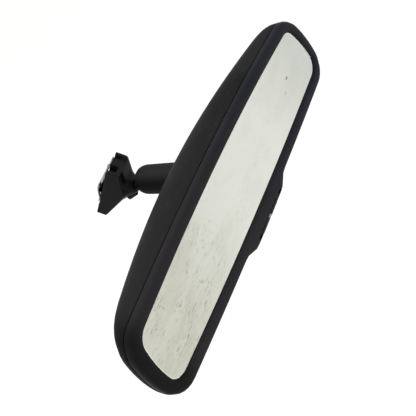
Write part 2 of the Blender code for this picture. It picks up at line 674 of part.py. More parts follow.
# ---- foot ----
def rounded_rectangle(half_x, low, high, radius, side_steps=1):
    """(x, z) points of a rectangle with rounded corners, its long sides cut into steps."""
    centres = [(half_x - radius, high - radius, 0), (-half_x + radius, high - radius, 90),
               (-half_x + radius, low + radius, 180), (half_x - radius, low + radius, 270)]
    points = []
    for x, z, start in centres:
        for s in range(CORNER_STEPS + 1):
            angle = radians(start + 90 * s / CORNER_STEPS)
            points.append((x + radius * cos(angle), z + radius * sin(angle)))
        if start in (90, 270):
            way = 1 if start == 270 else -1
            points += [(half_x * way, low + radius + (high - low - 2 * radius)
                        * (s if way > 0 else side_steps - s) / side_steps)
                       for s in range(1, side_steps)]
    return points


def neck_axis():
    """Unit vector from the foot's ball towards its shoulder, in the foot frame."""
    return Vector((0.0, cos(NECK_LEAN), -sin(NECK_LEAN)))


def flank_depth(height):
    """Depth of the foot's sides behind its face."""
    for (z0, d0), (z1, d1) in zip(FOOT_FLANK, FOOT_FLANK[1:]):
        if height <= z1:
            return d0 + (d1 - d0) * (height - z0) / (z1 - z0)
    return FOOT_FLANK[-1][1]


def make_foot(frame):
    face = rounded_rectangle(FOOT_HALF_WIDTH, FOOT_TAIL_Z, FOOT_HEAD_Z, FOOT_CORNER_R, FLANK_STEPS)
    rim = [(x, -flank_depth(z), z) for x, z in face]
    axis = neck_axis()
    centre = FOOT_BALL + axis * SHOULDER_REACH
    up = Vector((0.0, sin(NECK_LEAN), cos(NECK_LEAN)))
    shoulder = [centre + Vector((x, 0, 0)) + up * z for x, z in
                rounded_rectangle(SHOULDER_HALF_WIDTH, -SHOULDER_DOWN, SHOULDER_UP, 4.0, FLANK_STEPS)]
    middle = sum(WAIST_Z) / 2
    waist = [(x, -WAIST_DEPTH + WAIST_SLOPE * abs(z - middle), z) for x, z in
             rounded_rectangle(WAIST_HALF_WIDTH, *WAIST_Z, 4.0, FLANK_STEPS)]
    rings = [[(x, 0.0, z) for x, z in face], rim, waist, shoulder]
    foot = add_piece("mount_foot", loft("mount_foot", rings, cap_start=True, cap_end=True),
                     "foot_black", frame)
    make_boss(foot, frame)
    low, high, depth, length = LATCH_SLOT
    top = FOOT_HEAD_Z - LUG_STEP
    boolean(foot, box("latch_slot", (low, -depth, top - length), (high, EXTRA, top + EXTRA), None, frame))
    boolean(foot, box("top_step", (-FOOT_HALF_WIDTH - EXTRA, -4 * EXTRA, top), (LUG_LOW_X, EXTRA, top + EXTRA),
                      None, frame))
    boolean(foot, box("leaf_seat", (-FOOT_HALF_WIDTH - EXTRA, -PLATE_SEAT_DEPTH, PLATE_Z[0] - GAP),
                      (FOOT_HALF_WIDTH + EXTRA, EXTRA, FOOT_HEAD_Z + EXTRA), None, frame))
    seat_end = centre + axis * (SEAT_DEPTH + GAP)
    boolean(foot, rod("stud_bore", centre - axis * EXTRA, seat_end, NECK_R + GAP, None, frame))
    for k, z in enumerate(rivet_heights(), 1):
        boolean(foot, rod(f"rivet_bore_{k}", (0, -6.0, z), (0, EXTRA, z), RIVET_R + GAP, None, frame,
                          SCREW_STEPS))


def make_boss(foot, frame):
    """The lock screw's boss, its web to the foot and the screw itself."""
    along = (BOSS_END - BOSS_NEAR).normalized()
    boss = rod("screw_boss", BOSS_NEAR, BOSS_END, BOSS_R, None, frame, 18)
    web = box("screw_web", (-1.3, -21.5, 7.0), (1.3, -12.0, 16.0), None, frame)
    boolean(foot, boss, "UNION")
    boolean(foot, web, "UNION")
    bore_start = BOSS_NEAR + along * 1.5
    boolean(foot, rod("screw_bore", bore_start, BOSS_END + along * EXTRA, BOSS_BORE_R, None, frame, 18))
    tip = bore_start + along * GAP
    head = BOSS_END + along * 0.4
    screw = rod("lock_screw", tip, head, LOCK_SCREW_R, "zinc_steel", frame, 18)
    boolean(screw, rod("lock_screw_hex", head - along * 2.4, head + along, 0.8, None, frame, 6))


def rivet_heights():
    return PLATE_Z[0] + 1.9, PLATE_Z[1] - 1.9


def make_spring_plate(frame):
    """The bowed leaf that presses against the windscreen fixing."""
    low, high = PLATE_Z
    steps = 8
    profile = [(GAP, low)]
    for s in range(steps + 1):
        share = s / steps
        z = low + PLATE_FLAT + (high - low - 2 * PLATE_FLAT) * share
        profile.append((GAP + PLATE_BULGE * sin(pi * share), z))
    profile.append((GAP, high))
    bm = bmesh.new()
    rows = [[bm.verts.new((x, y, z)) for x in (-PLATE_HALF_WIDTH, PLATE_HALF_WIDTH)] for y, z in profile]
    for row, following in zip(rows, rows[1:]):
        bm.faces.new((row[0], row[1], following[1], following[0]))
    bm.normal_update()
    leaf = add_piece("spring_plate", mesh_from("spring_plate", bm), "stainless", frame)
    leaf_thickness = leaf.modifiers.new("thickness", "SOLIDIFY")
    leaf_thickness.thickness = PLATE_THICK * MM
    leaf_thickness.offset = -1.0
    middle = (low + high) / 2
    windows = [(-5.6, middle - 3.4), (5.6, middle - 3.4), (-5.6, middle + 3.4), (5.6, middle + 3.4)]
    for k, (x, z) in enumerate(windows, 1):
        boolean(leaf, rod(f"leaf_window_{k}", (x, -EXTRA, z), (x, 3 * EXTRA, z), 1.7, None, frame, 12))
    for k, z in enumerate(rivet_heights(), 1):
        boolean(leaf, rod(f"leaf_hole_{k}", (0, -EXTRA, z), (0, EXTRA, z), RIVET_R + GAP, None, frame, 12))
        face = GAP * 2 + PLATE_THICK
        profile = [(0.0, 0.7), (1.2, 0.55), (1.9, 0.0), (RIVET_R, 0.0), (RIVET_R, -5.5), (0.0, -5.5)]
        lathe(f"plate_rivet_{k}", profile, "zinc_steel", frame, turn=(radians(-90), 0, 0),
              place=(0, face, z), steps=SCREW_STEPS)


def make_foot_stud(frame):
    """The foot's ball on its neck, seated in the shoulder."""
    lathe("foot_ball_stud", ball_profile(SHOULDER_REACH + SEAT_DEPTH), "ball_steel", frame,
          turn=(radians(-90) - NECK_LEAN, 0, 0), place=FOOT_BALL)


def make_head_stud(frame):
    """The head's ball on a flange that four screws hold to the carrier."""
    turn = (radians(90), 0, 0)
    place = (0, HEAD_BALL_Y, ARM_Z)
    hx, hz = FLANGE_HALF
    outline = [(x, ARM_Z + z) for x, z in rounded_rectangle(hx, -hz, hz, 5.0)]
    stud = plate("head_ball_stud", outline, FLANGE_Y, "ball_steel", frame,
                 [(x, z, SCREW_BORE_R + 0.1) for x, z in FLANGE_HOLES])
    foot_of_neck = HEAD_BALL_Y - FLANGE_Y[0] - 1.0
    ball = lathe("head_ball", ball_profile(foot_of_neck), None, frame, turn=turn, place=place)
    boolean(stud, ball, "UNION")
    for k, at in enumerate(FLANGE_HOLES, 1):
        make_screw(f"stud_screw_{k}", at, FLANGE_Y[1] + GAP, 12.0, SCREW_R, 2.7, 1.8, frame)


def build():
    foot_frame = make_frame("foot_frame", turn=FOOT_TURN)
    foot_ball = Euler(FOOT_TURN, "XYZ").to_matrix() @ FOOT_BALL
    foot_joint = make_frame("foot_joint", place=foot_ball)
    head_joint = make_frame("head_joint", parent=foot_joint, place=(0, -ARM_SPAN, 0))
    head_frame = make_frame("head_frame", parent=head_joint, place=(0, -HEAD_BALL_Y, -ARM_Z))
    make_foot(foot_frame)
    make_foot_stud(foot_frame)
    make_spring_plate(foot_frame)
    make_joint("foot", foot_joint, (radians(-90), 0, 0))
    make_tube(foot_joint)
    make_spring(foot_joint)
    make_joint("head", head_joint, (radians(90), 0, 0))
    make_head_stud(head_frame)
    make_case(head_frame)
    make_bezel(head_frame)
    make_glass_stack(head_frame)
    make_carrier(head_frame)
    make_case_screws(head_frame)
    make_board(head_frame)
    make_socket(head_frame)
    make_controls(head_frame)


build()
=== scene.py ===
"""Looks of an interior rearview mirror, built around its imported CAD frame.

Lengths are millimetres in the piece's own frame; MM turns them into metres where a mesh is made.
The head frame has its origin in the middle of the visible glass; the foot frame has its x across
the foot, y out of the windscreen face and z up the slope; a ball frame has z out of the tube's mouth.
"""
import json
from math import asin, cos, pi, radians, sin, tan
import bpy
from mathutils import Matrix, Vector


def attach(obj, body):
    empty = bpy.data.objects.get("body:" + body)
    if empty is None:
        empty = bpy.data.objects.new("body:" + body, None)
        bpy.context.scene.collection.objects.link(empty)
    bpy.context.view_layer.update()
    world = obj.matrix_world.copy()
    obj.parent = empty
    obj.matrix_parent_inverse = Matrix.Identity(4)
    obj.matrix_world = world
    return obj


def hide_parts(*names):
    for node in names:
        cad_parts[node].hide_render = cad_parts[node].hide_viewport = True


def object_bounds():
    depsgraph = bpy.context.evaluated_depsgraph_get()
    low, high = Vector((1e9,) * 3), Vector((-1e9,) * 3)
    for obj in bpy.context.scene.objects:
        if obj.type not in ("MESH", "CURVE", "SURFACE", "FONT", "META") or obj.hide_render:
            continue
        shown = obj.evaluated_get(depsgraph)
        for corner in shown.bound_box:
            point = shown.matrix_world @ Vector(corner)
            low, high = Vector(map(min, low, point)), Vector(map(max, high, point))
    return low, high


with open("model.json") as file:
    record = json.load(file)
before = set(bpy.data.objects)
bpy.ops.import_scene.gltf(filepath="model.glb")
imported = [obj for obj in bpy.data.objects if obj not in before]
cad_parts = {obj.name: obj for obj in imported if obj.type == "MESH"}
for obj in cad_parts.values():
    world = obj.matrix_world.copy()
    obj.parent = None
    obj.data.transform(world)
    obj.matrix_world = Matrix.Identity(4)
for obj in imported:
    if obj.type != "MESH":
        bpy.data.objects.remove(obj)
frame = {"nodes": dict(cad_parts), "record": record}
CAD_BOX = [list(corner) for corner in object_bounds()]

import bmesh
import bpy
from mathutils import Euler, Matrix, Vector

MM = 0.001
JOINTS = {joint["name"]: joint for joint in frame["record"]["behaviour"]["joints"]}
FOOT_BALL = Vector(JOINTS["foot_yaw"]["pos_m"])
HEAD_BALL = Vector(JOINTS["head_yaw"]["pos_m"])
GAP = 0.3

# ---- head: the visible glass and the outlines that grow out of it ----
GLASS_TOP_HALF, GLASS_BOTTOM_HALF = 118.1, 125.7
GLASS_TOP, GLASS_BOTTOM = 20.1, -21.7
TOP_BOW, BOTTOM_BOW, END_BOW = 4.9, 3.1, 2.7
TOP_CORNER_R, FAR_CORNER_R, BOTTOM_CORNER_R = 8.3, 6.6, 7.3
FAR_CORNER_GROWTH = 0.24
BORDER = 7.2
END_SPREAD, TOP_SPREAD, BOTTOM_SPREAD = 1.25, 1.04, 1.38
CHIN_DROP, CHIN_FLAT_HALF, CHIN_HALF = 5.6, 23.0, 36.0
GLASS_SHIFT = 0.7
CORNER_STEPS, TOP_STEPS, BOTTOM_STEPS, END_STEPS = 7, 24, 56, 8

# The bezel's section, as (distance outside the glass, y, share of the chin).
SEAM_Y = 4.0
BEZEL_FRONT = [(0.0, -0.12, 0.0), (0.0, -0.45, 0.0), (0.3, -0.85, 0.0), (1.1, -1.35, 0.05),
               (2.6, -1.6, 0.4), (4.4, -1.55, 0.72), (5.6, -1.25, 0.94), (6.4, -0.5, 1.0),
               (6.85, 0.6, 1.0), (7.08, 1.9, 1.0), (7.2, 3.3, 1.0)]
BEZEL_BACK = [(7.12, 3.75, 1.0), (6.85, SEAM_Y, 1.0), (5.6, SEAM_Y, 1.0), (5.6, -0.12, 1.0)]
NOTCH = ((-13.4, -5.0, -46.0), (13.4, 3.0, -35.4))
PRY_RECESSES = [((-18.8, -5.0, -38.9), (-14.3, 1.6, -35.7)), ((17.8, -5.0, -38.9), (22.3, 1.6, -35.7))]

# The glass, as (distance outside its visible part, y) from its back round to its front.
GLASS_MARGIN = 1.4
GLASS_SECTION = [(GLASS_MARGIN - 0.35, 2.0), (GLASS_MARGIN, 1.7), (GLASS_MARGIN, 0.3),
                 (GLASS_MARGIN - 0.3, 0.05), (0.8, 0.0), (-0.5, 0.0)]
# The light ground edge with its painted highlight goes on the glass's rim only above this z and beyond
# this x, where the light catches it; elsewhere the rim keeps the glass finish.
LIT_EDGE_ABOVE_Z, LIT_EDGE_BEYOND_X = -14.0, -121.5

# The case: how deep it is, how full its section is, and its openings.
CASE_DEPTH, CASE_END_DEPTH, CASE_REACH = 38.0, 15.6, 136.0
CASE_FULLNESS = 3.3
CASE_COLLAR, CASE_LIP = 1.6, 0.25
CASE_WALL = 2.0
CASE_RINGS, CASE_PACE, CASE_CROWN_SHARE = 30, 0.8, 0.03
CROWN_Z = 3.0
ARM_Z = 8.0
HEAD_BALL_Y = 35.0
ARM_HOLE_R = 15.0
HEAD_AT = HEAD_BALL + Vector((0, -HEAD_BALL_Y, -ARM_Z)) * MM
WINDOW_AT, WINDOW_HOLE_R = (68.0, 3.0), 3.0
SOCKET_AT, SOCKET_HALF = (40.0, 3.0), (9.0, 4.6)
SOCKET_Y, SOCKET_WALL, SOCKET_CLEARANCE = (27.5, 41.0), 1.3, 0.4
PIN_COUNT, PIN_PITCH, PIN_HALF, PIN_Y, PIN_HOLE_HALF = 4, 3.6, 0.5, (10.9, 34.6), 0.8
SOCKET_KEYS_X = (-5.4, 5.4)

# The buttons and the indicator: a (y, z) section that follows the bezel's rolled edge.
BUTTON_X = (1.9, 13.1)
BUTTON_TOP = -37.7
LENS_HALF = 1.55
CONTROL_ROLL = [(-1.25, -36.3), (-1.55, -36.6), (-1.5, -37.8), (-1.1, -38.75), (-0.4, -39.45),
                (0.7, -39.95), (1.9, -40.2), (2.6, -40.25)]
CONTROL_BACK = [(2.6, BUTTON_TOP), (-0.4, BUTTON_TOP), (-0.4, -36.3)]
CONTROL_MIDDLE = (0.6, -39.0)
CONTROL_END_SHARE, CONTROL_SOFT_END = 0.94, 0.18
STEM_HALF, STEM_Y, STEM_TOP = 1.4, (-0.4, 1.8), -32.2

# ---- arm: the tube, its balls and what holds them ----
ARM_SPAN = 43.0
TUBE_OUTER = [(8.2, 5.9), (8.45, 6.2), (9.1, 5.95), (9.85, 4.95), (10.4, 3.2), (10.7, 1.2),
              (10.75, -0.6)]
TUBE_INNER = [(9.45, 0.8), (9.05, 3.0), (8.2, 4.8)]
BALL_R = 7.0
NECK_R = 3.2
SHELL_MOUTH, SHELL_BACK = radians(62), pi - radians(28)
SHELLS = [("liner", 7.3, 8.0, "nylon", "nylon"), ("cup", 8.3, 9.1, "inner", "inner_plastic")]
SPRING_SEAT = [(7.95, -5.35), (9.1, -5.35), (9.1, -9.6), (5.0, -9.6), (5.0, -8.15)]
COIL_R, COIL_WIRE_R, COIL_TURNS, COIL_STEPS = 7.3, 0.97, 4, 28
COIL_INSET = 9.6 + GAP + 1.0

# ---- foot ----
FOOT_TURN = Euler((radians(49.0), radians(10.2), radians(21.6)), "XYZ")
FOOT_BALL_IN_FOOT = Vector((0.0, -30.0, 31.0))
NECK_LEAN = radians(45.0)
SHOULDER_REACH = 12.0
NECK_ROOT = 6.0
FOOT_HALF = 12.1
FOOT_Z = (-8.1, 35.9)
FOOT_FLANK = [(-8.1, 6.8), (-0.5, 9.8), (6.5, 12.2), (14.0, 15.4), (18.5, 17.2), (25.0, 12.6),
              (31.8, 10.3), (35.9, 8.6)]
FOOT_CUTS = [((-8.8, -6.5, 28.2), (-1.8, 4.0, 38.0)),        # latch slot
             ((-16.0, -16.0, 33.8), (8.2, 4.0, 40.0)),       # lower step beside the lug
             ((6.9, -5.5, 30.0), (8.3, 4.0, 36.0)),          # slit along the lug
             ((-9.9, -16.8, 25.5), (-6.4, -9.8, 40.0)),      # recess behind the block
             ((-16.0, -0.3, 2.7), (16.0, 4.0, 40.0))]        # seat under the leaf
FOOT_WEB = ((-1.3, -21.5, 7.0), (1.3, -12.0, 16.0))
FOOT_VOXEL, FOOT_EASING = 0.33, 5
BOSS_NEAR = Vector((0.0, -23.0, 14.7))
BOSS_END = Vector((0.0, -18.75, 7.4))
BOSS_HOLE_R = 2.1
SLEEVE_R, SLEEVE_BORE_R, SLEEVE_START = 2.35, 1.9, 0.4
KNURLS, KNURL_DEPTH, SLEEVE_STEPS = 16, 0.16, 96
HEX_R, HEX_LENGTH = 0.85, 4.0
PLATE_Z = (3.0, 31.2)
PLATE_HALF = 10.2
LEAF_STEPS, LEAF_COLUMNS = 40, 24
LEAF_FLAT, LEAF_BULGE, LEAF_THICK = 4.0, 2.6, 0.8
LEAF_HOLES_X, LEAF_HOLES_Z, LEAF_HOLE_R = (-7.6, 7.6), (-8.2, -2.6, 3.0, 8.4), 1.15
LEAF_WINDOW_HALF = (4.0, 3.4)
RIVETS_Z, RIVET_HOLE_R = (PLATE_Z[0] + 1.9, PLATE_Z[1] - 1.9), 1.3
RIVET_HEAD = [(0.0, 0.7), (0.8, 0.64), (1.5, 0.36), (1.9, 0.0)]
RIVET_SHANK = [(1.0, 0.0), (1.0, -5.5), (0.0, -5.5)]

# ---- frames of the pieces ----
HEAD = Matrix.Translation(HEAD_AT)
FOOT = FOOT_TURN.to_matrix().to_4x4()
FOOT_JOINT = Matrix.Translation(FOOT_BALL)
HEAD_JOINT = Matrix.Translation(HEAD_BALL)

# ---- studio ----
FLOOR_DROP, FLOOR_SIZE = 0.42, 3000.0
PAPER_WHITE = (0.93, 0.93, 0.92)
SURROUND_WHITE, SURROUND_STRENGTH = (1.0, 1.0, 0.995, 1.0), 1.08
LAMPS = [("overhead", (0.15, 0.35, 1.0), 0.8, 2.2, (1.0, 0.99, 0.97)),    # name, offset, size,
         ("left_side", (-1.0, -0.2, 0.25), 0.5, 1.2, (1.0, 0.96, 0.92)),  # power and colour
         ("right_side", (0.9, -0.5, 0.5), 0.6, 0.8, (0.92, 0.95, 1.0))]
CAMERA_DISTANCE = 354.59
CAMERA_SHIFT = (-20.30, -16.06)
LENS_MM, SENSOR_MM = 48.46, 36.0
CAMERA_RIGHT = Vector((0.386, -0.739, -0.552))
CAMERA_UP = Vector((0.820, 0.001, 0.572))


# ---------------------------------------------------------------- shader maths
class Line:
    """A shader socket that can be used in Python arithmetic."""

    def __init__(self, finish, socket):
        self.finish, self.socket = finish, socket

    def math(self, operation, *values):
        return self.finish.add("ShaderNodeMath", {"operation": operation},
                               dict(enumerate((self, *values))))

    def __add__(self, other):
        return self.math("ADD", other)

    __radd__ = __add__

    def __sub__(self, other):
        return self.math("SUBTRACT", other)

    def __rsub__(self, other):
        return self.math("MULTIPLY", -1.0) + other

    def __mul__(self, other):
        return self.math("MULTIPLY", other)

    __rmul__ = __mul__

    def at_least(self, other):
        return self.math("MAXIMUM", other)

    def ramp(self, low, high):
        """0 at low, 1 at high, eased between and level outside; low may be the larger."""
        return self.finish.add("ShaderNodeMapRange", {"interpolation_type": "SMOOTHSTEP"},
                               {"Value": self, "From Min": low, "From Max": high}, "Result")


# The sockets of a Mix node that mixes colours.
MIX_MASK, MIX_FIRST, MIX_SECOND, MIX_RESULT = 0, 6, 7, 2


class Finish:
    """A material under construction: its nodes, its coordinates and its shader."""

    def __init__(self, name, colour, roughness, metallic=0.0, specular=0.5, coat=0.0,
                 coat_roughness=0.1):
        self.material = bpy.data.materials.new(name)
        self.material.use_nodes = True
        self.tree = self.material.node_tree
        self.shader = self.tree.nodes["Principled BSDF"]
        for socket, value in (("Base Color", (*colour, 1.0)), ("Roughness", roughness),
                              ("Metallic", metallic), ("Specular IOR Level", specular),
                              ("Coat Weight", coat), ("Coat Roughness", coat_roughness)):
            self.shader.inputs[socket].default_value = value

    def add(self, kind, settings=None, inputs=None, output=0):
        """Add any node: first its settings, then its inputs, as numbers, tuples or lines."""
        node = self.tree.nodes.new(kind)
        for setting, value in (settings or {}).items():
            setattr(node, setting, value)
        for socket, value in (inputs or {}).items():
            self.plug(value, node.inputs[socket])
        return Line(self, node.outputs[output])

    def plug(self, value, socket):
        if isinstance(value, Line):
            self.tree.links.new(value.socket, socket)
        else:
            socket.default_value = value

    def place(self):
        """Object coordinates in millimetres."""
        where = self.add("ShaderNodeTexCoord", output="Object")
        return self.add("ShaderNodeVectorMath", {"operation": "SCALE"}, {0: where, "Scale": 1.0 / MM})

    def stretched(self, place, scale, turn=(0, 0, 0), shift=(0, 0, 0)):
        return self.add("ShaderNodeMapping", None,
                        {"Vector": place, "Scale": scale, "Rotation": turn, "Location": shift})

    def noise(self, place, scale, detail=2.0, rough=0.5, warp=0.0):
        return self.add("ShaderNodeTexNoise", None,
                        {"Vector": place, "Scale": scale, "Detail": detail, "Roughness": rough,
                         "Distortion": warp}, "Fac")

    def cells(self, place, scale, feature):
        """Distance to a scattered point, or to the border between two of them."""
        return self.add("ShaderNodeTexVoronoi", {"feature": feature},
                        {"Vector": place, "Scale": scale}, "Distance")

    def specks(self, place, scale, size):
        """1 in small round spots scattered about."""
        return self.cells(place, scale, "F1").ramp(size, size * 0.4)

    def axis(self, place, name):
        return self.add("ShaderNodeSeparateXYZ", None, {0: place}, name)

    def facing(self, name):
        """How far a face looks along an axis, -1 to 1."""
        return self.axis(self.add("ShaderNodeNewGeometry", output="Normal"), name)

    def blend(self, mask, first, second):
        """Mix two colours by a mask."""
        first, second = ((*colour, 1.0) if isinstance(colour, tuple) else colour
                         for colour in (first, second))
        return self.add("ShaderNodeMix", {"data_type": "RGBA"},
                        {MIX_MASK: mask, MIX_FIRST: first, MIX_SECOND: second}, MIX_RESULT)

    def colour(self, value):
        self.plug(value, self.shader.inputs["Base Color"])

    def roughness(self, value):
        self.plug(value, self.shader.inputs["Roughness"])

    def bump(self, height, depth, strength):
        bumped = self.add("ShaderNodeBump", None,
                          {"Height": height, "Distance": depth * MM, "Strength": strength}, "Normal")
        self.plug(bumped, self.shader.inputs["Normal"])


def tint(colour, share):
    return tuple(c * share for c in colour)


# ---------------------------------------------------------------- finishes
SCRATCH_GREY = (0.07, 0.07, 0.07)
LINT_GREY = (0.12, 0.12, 0.11)
BARE_EDGE_GREY = (0.08, 0.08, 0.08)
GLASS_SMEAR = (0.425, 0.425, 0.350)
GLASS_SCRATCH = (0.17, 0.17, 0.11)
GLASS_STAIN = (0.50, 0.43, 0.33)
GLASS_DOT = (0.24, 0.24, 0.17)
GLASS_MARK = (0.135, 0.130, 0.055)

# Families of wiping scratches: their turn, stretch, threshold and strength.
WIPING_SCRATCHES = [(0.10, (0.28, 1.0, 1.0), 0.580, 0.56), (-0.28, (0.34, 1.0, 1.2), 0.594, 0.47),
                    (0.46, (0.22, 1.0, 1.1), 0.60, 0.41)]

# Single marks on the worn glass: x, z, radius and how dark.
SINGLE_MARKS = [(91.1, 0.7, 1.9, 0.85), (89.1, 1.2, 1.1, 0.40), (81.7, -4.6, 2.6, 0.22),
                (-95.9, 13.9, 1.1, 0.42), (-107.8, 12.1, 0.9, 0.60), (-109.9, 8.9, 1.2, 0.25),
                (-94.3, -12.0, 1.2, 0.30), (-96.9, 0.9, 1.4, 0.22)]


def moulded_black(name, colour, roughness, warm_lit_tone, cool_shaded_tone, grain, specular):
    """Black moulded plastic: spark-eroded grain, faint rub marks, a little lint.

    The warm and cool tones are painted light and shade: a warm lit tone at the -x end of the head,
    blending to a cooler, darker tone at the +x end.
    """
    m = Finish(name, colour, roughness, specular=specular)
    place = m.place()
    fine = m.noise(place, 1.0 / grain, 3.0, 0.65)
    broad = m.noise(place, 0.022, 3.0, 0.6)
    rub_lines = m.stretched(place, (0.10, 0.5, 0.9), (0.2, 0.5, 0.1))
    rubbed = m.noise(rub_lines, 0.35, 4.0, 0.7, 0.6).ramp(0.56, 0.74)
    scratch_lines = m.stretched(place, (0.06, 1.0, 2.4), (0.0, 0.45, 0.25))
    scratch = m.noise(scratch_lines, 0.55, 2.0, 0.5).ramp(0.70, 0.76)
    lint = m.specks(place, 0.085, 0.045)
    # Painted light and shade: the tone runs from the warm lit tone at the -x end to the cooler, darker
    # tone at the +x end.
    light_tint_across = m.axis(place, "X").ramp(-120.0, 120.0)
    tone = m.blend(light_tint_across, warm_lit_tone, cool_shaded_tone)
    tone = m.blend(broad.ramp(0.35, 0.7) * 0.5, tone, tint(colour, 1.35))
    tone = m.blend(rubbed * 0.35, tone, tint(colour, 2.1))
    tone = m.blend(scratch * 0.25, tone, SCRATCH_GREY)
    tone = m.blend(lint * 0.4, tone, LINT_GREY)
    shaded = m.facing("Z").ramp(0.1, -0.8).at_least(m.axis(place, "X").ramp(-104.0, -124.0))
    tone = m.blend(shaded * 0.75, tone, tint(warm_lit_tone, 0.12))
    m.colour(tone)
    m.roughness(rubbed * -0.09 + fine * 0.14 + (roughness - 0.06) + broad * 0.05)
    m.bump(fine, 0.05, 0.55)
    return m.material


def silvered_glass():
    """The reflecting glass, with wiping scratches, smears and dried specks."""
    m = Finish("silvered_glass", (0.60, 0.61, 0.56), 0.06, metallic=1.0)
    place = m.place()
    across, up = m.axis(place, "X"), m.axis(place, "Z")
    # Painted reflection: a darker reflection is painted towards the +x end of the glass.
    worn_end = across.ramp(0.0, -105.0)
    dim_reflection_end = across.ramp(40.0, 118.0)
    sheen = m.noise(place, 0.020, 2.0, 0.5)
    smear = m.noise(m.stretched(place, (0.22, 1.0, 0.6), (0, 0.35, 0)), 0.10, 4.0, 0.6, 0.8)
    tone = m.blend(sheen, (0.632, 0.640, 0.600), (0.700, 0.708, 0.655))
    tone = m.blend(dim_reflection_end * 0.85, tone, (0.525, 0.545, 0.505))
    tone = m.blend(worn_end * 0.8, tone, (0.532, 0.535, 0.460))
    tone = m.blend(smear.ramp(0.42, 0.68) * (worn_end * 0.42 + 0.14), tone, GLASS_SMEAR)
    marks = None
    for turn, scale, low, strength in WIPING_SCRATCHES:
        lines = m.stretched(place, scale, (0, turn, 0), (turn * 50, 0, 7))
        streak = m.noise(lines, 0.85, 1.5, 0.5).ramp(low, low + 0.10) * strength
        marks = streak if marks is None else marks.at_least(streak)
    patch = m.noise(place, 0.055, 2.0, 0.6).ramp(0.42, 0.60)
    marks = marks * patch * (worn_end * 0.80 + 0.20)
    tone = m.blend(marks, tone, GLASS_SCRATCH)
    low_edge = up.ramp(-6.0, -20.0) * worn_end
    stain = m.noise(place, 0.28, 4.0, 0.7).ramp(0.50, 0.66) * low_edge
    tone = m.blend(stain * 0.34, tone, GLASS_STAIN)
    dots = m.specks(m.stretched(place, (1, 1, 1), (0, 0.4, 0)), 0.16, 0.085)
    dots = dots * m.noise(place, 0.05).ramp(0.5, 0.6)
    tone = m.blend(dots * (worn_end * 0.5 + 0.12), tone, GLASS_DOT)
    for x, z, radius, dark in SINGLE_MARKS:
        off_x, off_z = across - x, (up - z) * 1.5
        away = (off_x * off_x + off_z * off_z).math("SQRT")
        tone = m.blend(away.ramp(radius, radius * 0.3) * dark, tone, GLASS_MARK)
    m.colour(tone)
    m.roughness(smear * 0.05 + marks * 0.30 + (0.045 + stain * 0.25))
    m.bump(marks + smear * 0.1, 0.02, 0.25)
    return m.material


def cast_black(name, colour, roughness, specular, light_from=(0.0, 1.0), shade_share=0.1):
    """Black coated metal with an orange-peel skin and worn high spots.

    The last two arguments are painted light: the direction it falls from, as weights of x and z, and
    the share of the colour left in the painted shade.
    """
    m = Finish(name, colour, roughness, specular=specular)
    place = m.place()
    peel = m.noise(place, 0.9, 3.0, 0.55)
    grit = m.noise(place, 3.2, 2.0, 0.5)
    wear = m.noise(place, 0.16, 5.0, 0.7, 0.5)
    ridge = m.add("ShaderNodeNewGeometry", output="Pointiness")
    worn = ridge.ramp(0.535, 0.60) * wear.ramp(0.42, 0.62)
    tone = m.blend(wear, tint(colour, 0.8), tint(colour, 1.3))
    tone = m.blend(worn * 0.4, tone, BARE_EDGE_GREY)
    # Painted light and shade: faces turned from the light are darkened strongly and faces turned
    # straight at it a little, which leaves a lighter band between them.
    toward_light = m.facing("X") * light_from[0] + m.facing("Z") * light_from[1]
    tone = m.blend(toward_light.ramp(0.35, -0.45) * 0.8, tone, tint(colour, shade_share))
    tone = m.blend(toward_light.ramp(0.35, 0.95) * 0.35, tone, tint(colour, shade_share))
    m.colour(tone)
    m.roughness(wear * 0.16 + (roughness - 0.08) + grit * 0.06)
    m.bump(peel * 0.6 + grit * 0.4, 0.04, 0.6)
    return m.material


def bare_steel(name, colour, roughness, stain):
    """Plated or bright steel with drawn lines and dull stains."""
    m = Finish(name, colour, roughness, metallic=1.0)
    place = m.place()
    drawn = m.noise(m.stretched(place, (0.3, 0.3, 6.0), (0.3, 0.4, 0.0)), 1.0, 2.0, 0.5)
    cloud = m.noise(place, 0.35, 4.0, 0.65)
    dull = cloud.ramp(0.48, 0.70) * stain
    m.colour(m.blend(dull, colour, tint(colour, 0.35)))
    m.roughness(drawn * 0.12 + dull * 0.4 + (roughness - 0.05))
    m.bump(drawn, 0.01, 0.4)
    return m.material


def plain_plastic(name, colour, roughness, specular=0.4, grain=0.5):
    """Inner mouldings, rubbers and foam: even colour with a faint mottling."""
    m = Finish(name, colour, roughness, specular=specular)
    place = m.place()
    mottle = m.noise(place, 0.25, 3.0, 0.6)
    grit = m.noise(place, 1.0 / grain, 2.0, 0.5)
    m.colour(m.blend(mottle, tint(colour, 0.85), tint(colour, 1.2)))
    m.roughness(mottle * 0.12 + (roughness - 0.06))
    m.bump(grit, 0.03, 0.4)
    return m.material


def board_green():
    """Solder mask with copper tracks under it."""
    m = Finish("board_green", (0.02, 0.11, 0.05), 0.4)
    track = m.cells(m.place(), 0.35, "DISTANCE_TO_EDGE").ramp(0.10, 0.06)
    m.colour(m.blend(track, (0.010, 0.075, 0.035), (0.035, 0.160, 0.065)))
    m.roughness(track * -0.1 + 0.42)
    m.bump(track, 0.04, 0.5)
    return m.material


def clear_lens(name, colour, glow):
    """Small clear moulding with a frosted core."""
    m = Finish(name, colour, 0.16, specular=0.5, coat=0.6, coat_roughness=0.05)
    frost = m.noise(m.place(), 0.8, 2.0, 0.5)
    m.colour(m.blend(frost, colour, tuple(min(1.0, c * glow) for c in colour)))
    m.roughness(frost * 0.2 + 0.1)
    return m.material


